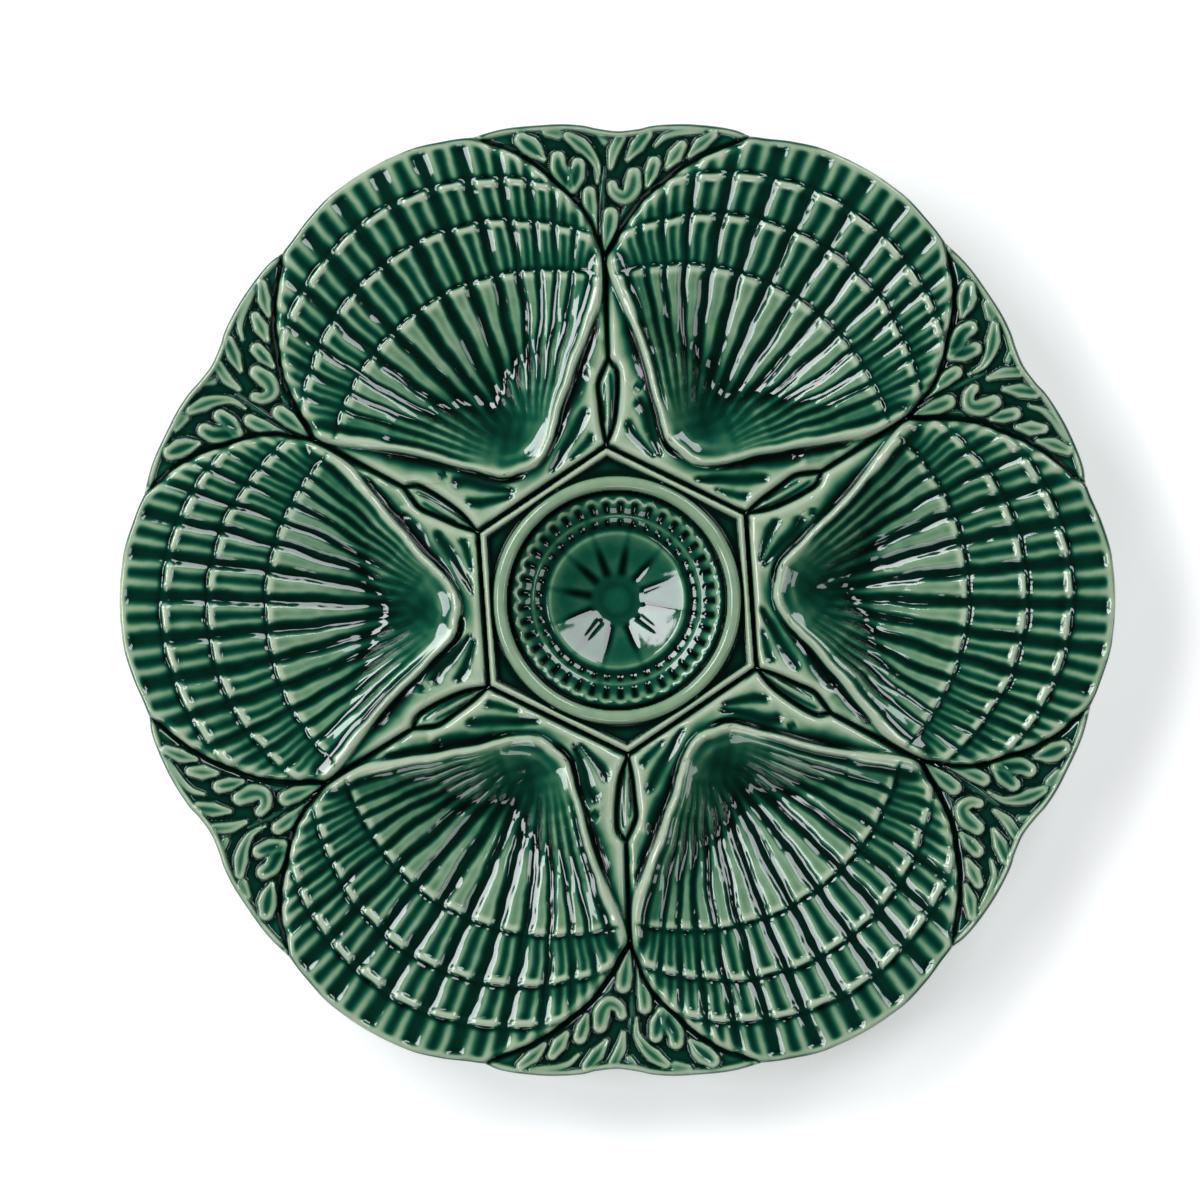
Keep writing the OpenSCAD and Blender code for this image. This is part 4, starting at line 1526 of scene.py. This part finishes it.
class Relief:
    """The whole plate's carved top on one fine grid, for how the glaze ran on it and for the shade painted
    into its hollows.
    """

    # The grid's step and half width, the step in degrees of the wedge that it is read from, and the
    # glaze's depth on an even surface
    step: float = 0.3
    half: float = 130.0
    turn_step: float = 0.15
    even_depth: float = 0.42
    # Spread of a point's near, wide and broad surroundings in millimetres, and how much each counts
    near: Pair = (0.9, 0.24)
    wide: Pair = (2.4, 0.22)
    broad: Pair = (9.0, 0.03)
    # Height of a point against each of them beyond which it makes no more difference
    near_span: float = 0.22
    wide_span: Pair = (-0.45, 0.7)
    broad_span: Pair = (-2.0, 2.0)
    # Just beyond the rim the relief goes on, so that the glaze on the rim has surroundings to lie against
    past_rim: float = 1.005
    rim_drop: float = 3.0
    # Between two shells, the leaf bud's relief ends and the seaweed's starts at this distance
    bud_to: float = 73.0
    # Of the points on the shells' borders, one in so many is read
    border_every: int = 4

    def __init__(self) -> None:
        """Carves the grid and works out how deep the glaze lies at each point, with the shade painted into
        its hollows.
        """
        radii = np.arange(0, 2 * self.half, self.step)
        turns = np.arange(0, SECTOR + self.turn_step / 2, self.turn_step)
        r, turn = np.meshgrid(radii[radii < self.half], turns, indexing="ij")
        wedge, gathered = (grid.reshape(r.shape) for grid in self.carve(*polar(r.ravel(), turn.ravel())))
        line = np.linspace(-self.half, self.half, int(2 * self.half / self.step) + 1)
        x, y = np.meshgrid(line, line, indexing="ij")
        r = np.hypot(x, y)
        turn = np.degrees(np.arctan2(y, x)) % SECTOR
        self.z = read_grid(wedge, r / self.step, turn / self.turn_step)
        self.gathered = read_grid(gathered, r / self.step, turn / self.turn_step)
        cup = r < CUP.radius
        self.z[cup], self.gathered[cup] = CUP.carved(x[cup], y[cup])
        self.pool = self.glaze_and_painted_shade()

    @staticmethod
    def borders() -> tuple[Points, Points]:
        """Follows both shells' borders along the line between them.

        Returns:
            For the lower and the upper border, pairs of radius and angle from the line.
        """
        length = BODY.leaf_end - BODY.hex_radius
        leaf_r = [BODY.hex_radius + s[0] * length for s in BODY.leaf_sides]
        both = []
        for column, path in ((1, SEAWEED.low_path()), (2, SEAWEED.high_path())):
            knots = [(r, s[column] - SECTOR / 2) for r, s in zip(leaf_r, BODY.leaf_sides)]
            knots.append((BODY.fork, BODY.seam_turn - SECTOR / 2))
            far = np.hypot(path[:, 0], path[:, 1])
            angle = np.degrees(np.arctan2(path[:, 1], path[:, 0]))
            pick = slice(Relief.border_every, None, Relief.border_every)
            knots.extend(zip(far[pick], angle[pick]))
            both.append(tuple(knots))
        return both[0], both[1]

    @staticmethod
    def carve(x: np.ndarray, y: np.ndarray) -> Carving:
        """Carves the plate's top outside the cup, each point by the piece that it lies on.

        Args:
            x: first coordinate.
            y: second coordinate.

        Returns:
            Height above the table, and the glaze that gathers there.
        """
        r = np.hypot(x, y)
        turn = np.degrees(np.arctan2(y, x))
        part = np.round((turn - SECTOR / 2) / SECTOR)
        off = turn - SECTOR / 2 - part * SECTOR
        lx, ly = polar(r, off)
        low, high = (eased(r, knots) for knots in Relief.borders())
        z = np.full(x.shape, BODY.rim - Relief.rim_drop)
        gathered = np.zeros(x.shape)
        inside = COLLAR.side_distance(x, y) > 0
        below = ~inside & (off < low)
        above = ~inside & (off > high)
        between = ~inside & ~below & ~above
        solid = r < BODY.radius * Relief.past_rim
        for mask, back in ((below & solid, SECTOR / 2), (above & solid, -SECTOR / 2)):
            sx, sy = turned(lx[mask], ly[mask], back)
            z[mask], gathered[mask] = SHELL.carved(sx, sy)
        bud = r < Relief.bud_to
        for mask, form in ((between & bud & solid, LEAF), (between & ~bud & solid, SEAWEED)):
            z[mask], gathered[mask] = form.carved(lx[mask], ly[mask])
        collar = inside & (r >= CUP.radius)
        z[collar], gathered[collar] = COLLAR.carved(x[collar], y[collar])
        return z, gathered

    def blurred(self, spread: float) -> np.ndarray:
        """Blurs the relief.

        Args:
            spread: the bell's spread, in millimetres.

        Returns:
            The blurred heights on the grid.
        """
        waves = [np.fft.fftfreq(n, self.step) for n in self.z.shape]
        keep = np.exp(-2 * (np.pi * spread) ** 2 * (waves[0][:, None] ** 2 + waves[1][None, :] ** 2))
        return np.real(np.fft.ifft2(np.fft.fft2(self.z) * keep))

    def glaze_and_painted_shade(self) -> np.ndarray:
        """Works out how deep the glaze pooled, and how much shade is painted into the hollows, from how each
        point lies against its surroundings.

        Returns:
            The depth on the grid, which darkens the colour as pooled glaze and as painted shade: 0 on bare
            ridges, 1 in the deepest grooves.
        """
        near, wide, broad = (self.blurred(run[0]) - self.z for run in (self.near, self.wide, self.broad))
        depth = self.even_depth + self.near[1] * np.tanh(near / self.near_span)
        depth = depth + self.wide[1] * np.clip(wide, *self.wide_span)
        return depth + self.broad[1] * np.clip(broad, *self.broad_span) + self.gathered

    def read(self, x: np.ndarray, y: np.ndarray) -> np.ndarray:
        """Returns the glaze depth with its painted shade at points, read between the grid's lines."""
        return read_grid(self.pool, (x + self.half) / self.step, (y + self.half) / self.step)


# Finishes


class Mixer:
    """A new material and the nodes that are laid into it one by one."""

    def __init__(self, name: str) -> None:
        """Starts a material with its plain shader.

        Args:
            name: the material's name.
        """
        self.material = bpy.data.materials.new(name)
        self.material.use_nodes = True
        self.nodes = self.material.node_tree.nodes
        self.links = self.material.node_tree.links
        self.shader = self.nodes["Principled BSDF"]

    def noise(self, scale: float, detail: float) -> bpy.types.NodeSocket:
        """Lays noise on the object's own coordinates.

        Args:
            scale: how fine it is.
            detail: how many finer layers it has.

        Returns:
            The socket that gives the noise.
        """
        place = self.nodes.new("ShaderNodeTexCoord")
        noise = self.nodes.new("ShaderNodeTexNoise")
        noise.inputs["Scale"].default_value = scale
        noise.inputs["Detail"].default_value = detail
        self.links.new(place.outputs["Object"], noise.inputs["Vector"])
        return noise.outputs["Fac"]

    def maths(self, operation: str, *terms: bpy.types.NodeSocket | float) -> bpy.types.NodeSocket:
        """Joins values by one step of arithmetic.

        Args:
            operation: the step's name.
            terms: sockets or plain numbers, in order.

        Returns:
            The socket that gives the result.
        """
        node = self.nodes.new("ShaderNodeMath")
        node.operation = operation
        for entry, term in zip(node.inputs, terms):
            if isinstance(term, float):
                entry.default_value = term
            else:
                self.links.new(term, entry)
        return node.outputs[0]

    def colour(self, value: bpy.types.NodeSocket, stops: Stops) -> None:
        """Colours the shader by a value.

        Args:
            value: the socket that gives the value.
            stops: places on the value's scale, and the colour at each.
        """
        ramp = self.nodes.new("ShaderNodeValToRGB")
        while len(ramp.color_ramp.elements) < len(stops):
            ramp.color_ramp.elements.new(0.5)
        for stop, (at, colour) in zip(ramp.color_ramp.elements, stops):
            stop.position = at
            stop.color = (*colour, 1.0)
        self.links.new(value, ramp.inputs["Fac"])
        self.links.new(ramp.outputs["Color"], self.shader.inputs["Base Color"])


@dataclass(frozen=True)
class Glaze:
    """Translucent green majolica glaze: pale where it ran thin, near black where it pooled and where shade is
    painted into the grooves.
    """

    name: str
    # Depth of the glaze, and its colour there; the near black stops are painted shade in the grooves
    ramp: Stops = (
        (0.0, (0.47, 0.56, 0.41)), (0.12, (0.34, 0.45, 0.30)), (0.24, (0.17, 0.31, 0.18)),
        (0.35, (0.04, 0.16, 0.085)), (0.46, (0.005, 0.082, 0.046)), (0.6, (0.0008, 0.036, 0.020)),
        (0.8, (0.0002, 0.012, 0.007)), (1.0, (0.0001, 0.002, 0.001)))
    # How much the depth varies by chance, and how finely
    mottle: float = 0.06
    mottle_scale: float = 260.0
    mottle_detail: float = 4.0
    # The faint waves of its surface
    wave_scale: float = 400.0
    wave_detail: float = 0.5
    wave_strength: float = 0.25
    wave_height: float = 0.0002
    roughness: float = 0.07
    glassiness: float = 1.5
    coat: float = 0.5
    coat_roughness: float = 0.03

    def build(self) -> bpy.types.Material:
        """Mixes the glaze.

        Returns:
            A material that reads each piece's own glaze depth, with its painted shade.
        """
        mixer = Mixer(self.name)
        depth = mixer.nodes.new("ShaderNodeAttribute")
        depth.attribute_name = GLAZE_AND_SHADE
        noise = mixer.noise(self.mottle_scale, self.mottle_detail)
        stir = mixer.maths("MULTIPLY_ADD", noise, self.mottle * 2, -self.mottle)
        mixer.colour(mixer.maths("ADD", depth.outputs["Fac"], stir), self.ramp)
        ripple = mixer.nodes.new("ShaderNodeBump")
        ripple.inputs["Strength"].default_value = self.wave_strength
        ripple.inputs["Distance"].default_value = self.wave_height
        mixer.links.new(mixer.noise(self.wave_scale, self.wave_detail), ripple.inputs["Height"])
        shader = mixer.shader
        mixer.links.new(ripple.outputs["Normal"], shader.inputs["Normal"])
        shader.inputs["Roughness"].default_value = self.roughness
        shader.inputs["IOR"].default_value = self.glassiness
        shader.inputs["Coat Weight"].default_value = self.coat
        shader.inputs["Coat Roughness"].default_value = self.coat_roughness
        return mixer.material


@dataclass(frozen=True)
class Bisque:
    """Unglazed buff earthenware, as on the foot ring."""

    name: str
    grain_scale: float = 180.0
    grain_detail: float = 6.0
    # Place on the grain's scale, and the clay's colour there
    ramp: Stops = ((0.3, (0.42, 0.34, 0.24)), (0.7, (0.66, 0.58, 0.44)))
    roughness: float = 0.85

    def build(self) -> bpy.types.Material:
        """Mixes the bare clay.

        Returns:
            The material.
        """
        mixer = Mixer(self.name)
        mixer.colour(mixer.noise(self.grain_scale, self.grain_detail), self.ramp)
        mixer.shader.inputs["Roughness"].default_value = self.roughness
        return mixer.material


class Plate:
    """The whole plate: every kind of piece, the relief that joins them and their two finishes."""

    pieces: tuple[Piece, ...] = (SHELL, SEAWEED, LEAF, COLLAR, CUP, FOOT)

    def __init__(self) -> None:
        """Carves the relief that all pieces' glaze follows, and mixes the finishes."""
        self.relief = Relief()
        log.info("relief carved")
        self.materials = {finish: kind(finish.value).build()
                          for finish, kind in ((Finish.MAJOLICA, Glaze), (Finish.BISQUE, Bisque))}

    def build(self) -> None:
        """Makes every piece of the plate."""
        for kind in self.pieces:
            for node, piece in kind.set_round().items():
                kind.dress(piece, node, self.relief, self.materials[kind.finish])


@dataclass(frozen=True)
class Studio:
    """Floor, soft lights and the camera straight above."""

    # The floor's glow is for the camera, gloss and glass alone, and lights nothing
    floor_half: float = 1.5
    floor_tone: float = 0.9
    floor_roughness: float = 0.9
    floor_glow: float = 0.4
    air_light: float = 0.025
    light_colour: tuple[float, float, float] = (0.95, 0.98, 1.0)
    # The camera: its height, its film, the width and offset of its view at the plate's level, its sight
    eye_height: float = 1.5
    plate_level: float = 0.018
    sensor: float = 36.0
    view_width: float = 0.3
    view_offset: float = -0.00435
    sight: float = 20.0
    lamp_far: float = 1.05
    # Each softbox: name, direction round the plate, tilt from straight above, width and height, watts
    lamps: tuple[tuple[str, float, float, Pair, float], ...] = (
        ("softbox_back_left", 146.0, 49.0, (0.55, 0.4), 6.6),
        ("softbox_left", 190.0, 45.0, (0.42, 0.4), 4.0),
        ("softbox_back_right", 50.0, 45.0, (0.5, 0.4), 3.7),
        ("softbox_right", -12.0, 60.0, (0.4, 0.3), 1.2),
        ("softbox_front", 265.0, 60.0, (0.4, 0.3), 1.2),
    )

    def floor(self) -> None:
        """Lays the pale floor, which shows white to the camera and keeps the plate's shadow."""
        bm = bmesh.new()
        bmesh.ops.create_grid(bm, x_segments=4, y_segments=4, size=self.floor_half)
        mesh = bpy.data.meshes.new("floor")
        bm.to_mesh(mesh)
        bm.free()
        floor = bpy.data.objects.new("floor", mesh)
        bpy.context.scene.collection.objects.link(floor)
        mixer = Mixer("pale_floor")
        shader = mixer.shader
        shader.inputs["Base Color"].default_value = (self.floor_tone, self.floor_tone, self.floor_tone, 1)
        shader.inputs["Roughness"].default_value = self.floor_roughness
        shader.inputs["Specular IOR Level"].default_value = 0.0
        ray = mixer.nodes.new("ShaderNodeLightPath")
        seen = mixer.maths("MAXIMUM", ray.outputs["Is Camera Ray"], ray.outputs["Is Glossy Ray"])
        seen = mixer.maths("MAXIMUM", seen, ray.outputs["Is Transmission Ray"])
        glow = mixer.nodes.new("ShaderNodeEmission")
        glow.inputs["Color"].default_value = (1, 1, 1, 1)
        mixer.links.new(mixer.maths("MULTIPLY", seen, self.floor_glow), glow.inputs["Strength"])
        total = mixer.nodes.new("ShaderNodeAddShader")
        mixer.links.new(shader.outputs[0], total.inputs[0])
        mixer.links.new(glow.outputs[0], total.inputs[1])
        mixer.links.new(total.outputs[0], mixer.nodes["Material Output"].inputs["Surface"])
        mesh.materials.append(mixer.material)

    def lamp(self, name: str, turn: float, tilt: float, size: Pair, power: float) -> None:
        """Hangs one softbox that faces the plate.

        Args:
            name: the lamp's name.
            turn: its direction round the plate, in degrees.
            tilt: its direction away from straight above, in degrees.
            size: its width and height, in metres.
            power: its power in watts.
        """
        across, up = polar(self.lamp_far, 90.0 - tilt)
        place = (*polar(across, turn), up)
        light = bpy.data.lights.new(name, "AREA")
        light.shape = "RECTANGLE"
        light.size, light.size_y = size
        light.energy = power
        light.color = self.light_colour
        lamp = bpy.data.objects.new(name, light)
        lamp.location = place
        lamp.rotation_euler = (-Vector(place)).to_track_quat("-Z", "Y").to_euler()
        bpy.context.scene.collection.objects.link(lamp)

    def world(self) -> None:
        """Fills the surroundings with an even, low light."""
        world = bpy.data.worlds.new("studio")
        world.use_nodes = True
        sky = world.node_tree.nodes["Background"]
        sky.inputs["Color"].default_value = (*self.light_colour, 1.0)
        sky.inputs["Strength"].default_value = self.air_light
        bpy.context.scene.world = world

    def camera(self) -> None:
        """Sets the camera straight above the plate, as in the photograph."""
        data = bpy.data.cameras.new("camera")
        data.sensor_fit = "HORIZONTAL"
        data.sensor_width = self.sensor
        data.lens = data.sensor_width * (self.eye_height - self.plate_level) / self.view_width
        data.clip_end = self.sight
        camera = bpy.data.objects.new("camera", data)
        camera.location = (self.view_offset, 0, self.eye_height)
        bpy.context.scene.collection.objects.link(camera)
        bpy.context.scene.camera = camera

    def build(self) -> None:
        """Sets the whole studio."""
        self.floor()
        self.world()
        for name, turn, tilt, size, power in self.lamps:
            self.lamp(name, turn, tilt, size, power)
        self.camera()
        bpy.context.scene.view_settings.view_transform = "Standard"


def main() -> None:
    """Builds the plate and the studio."""
    logging.basicConfig(level=logging.INFO, format="%(asctime)s %(message)s")
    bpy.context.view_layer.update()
    Plate().build()
    Studio().build()


if __name__ == "__main__":
    main()
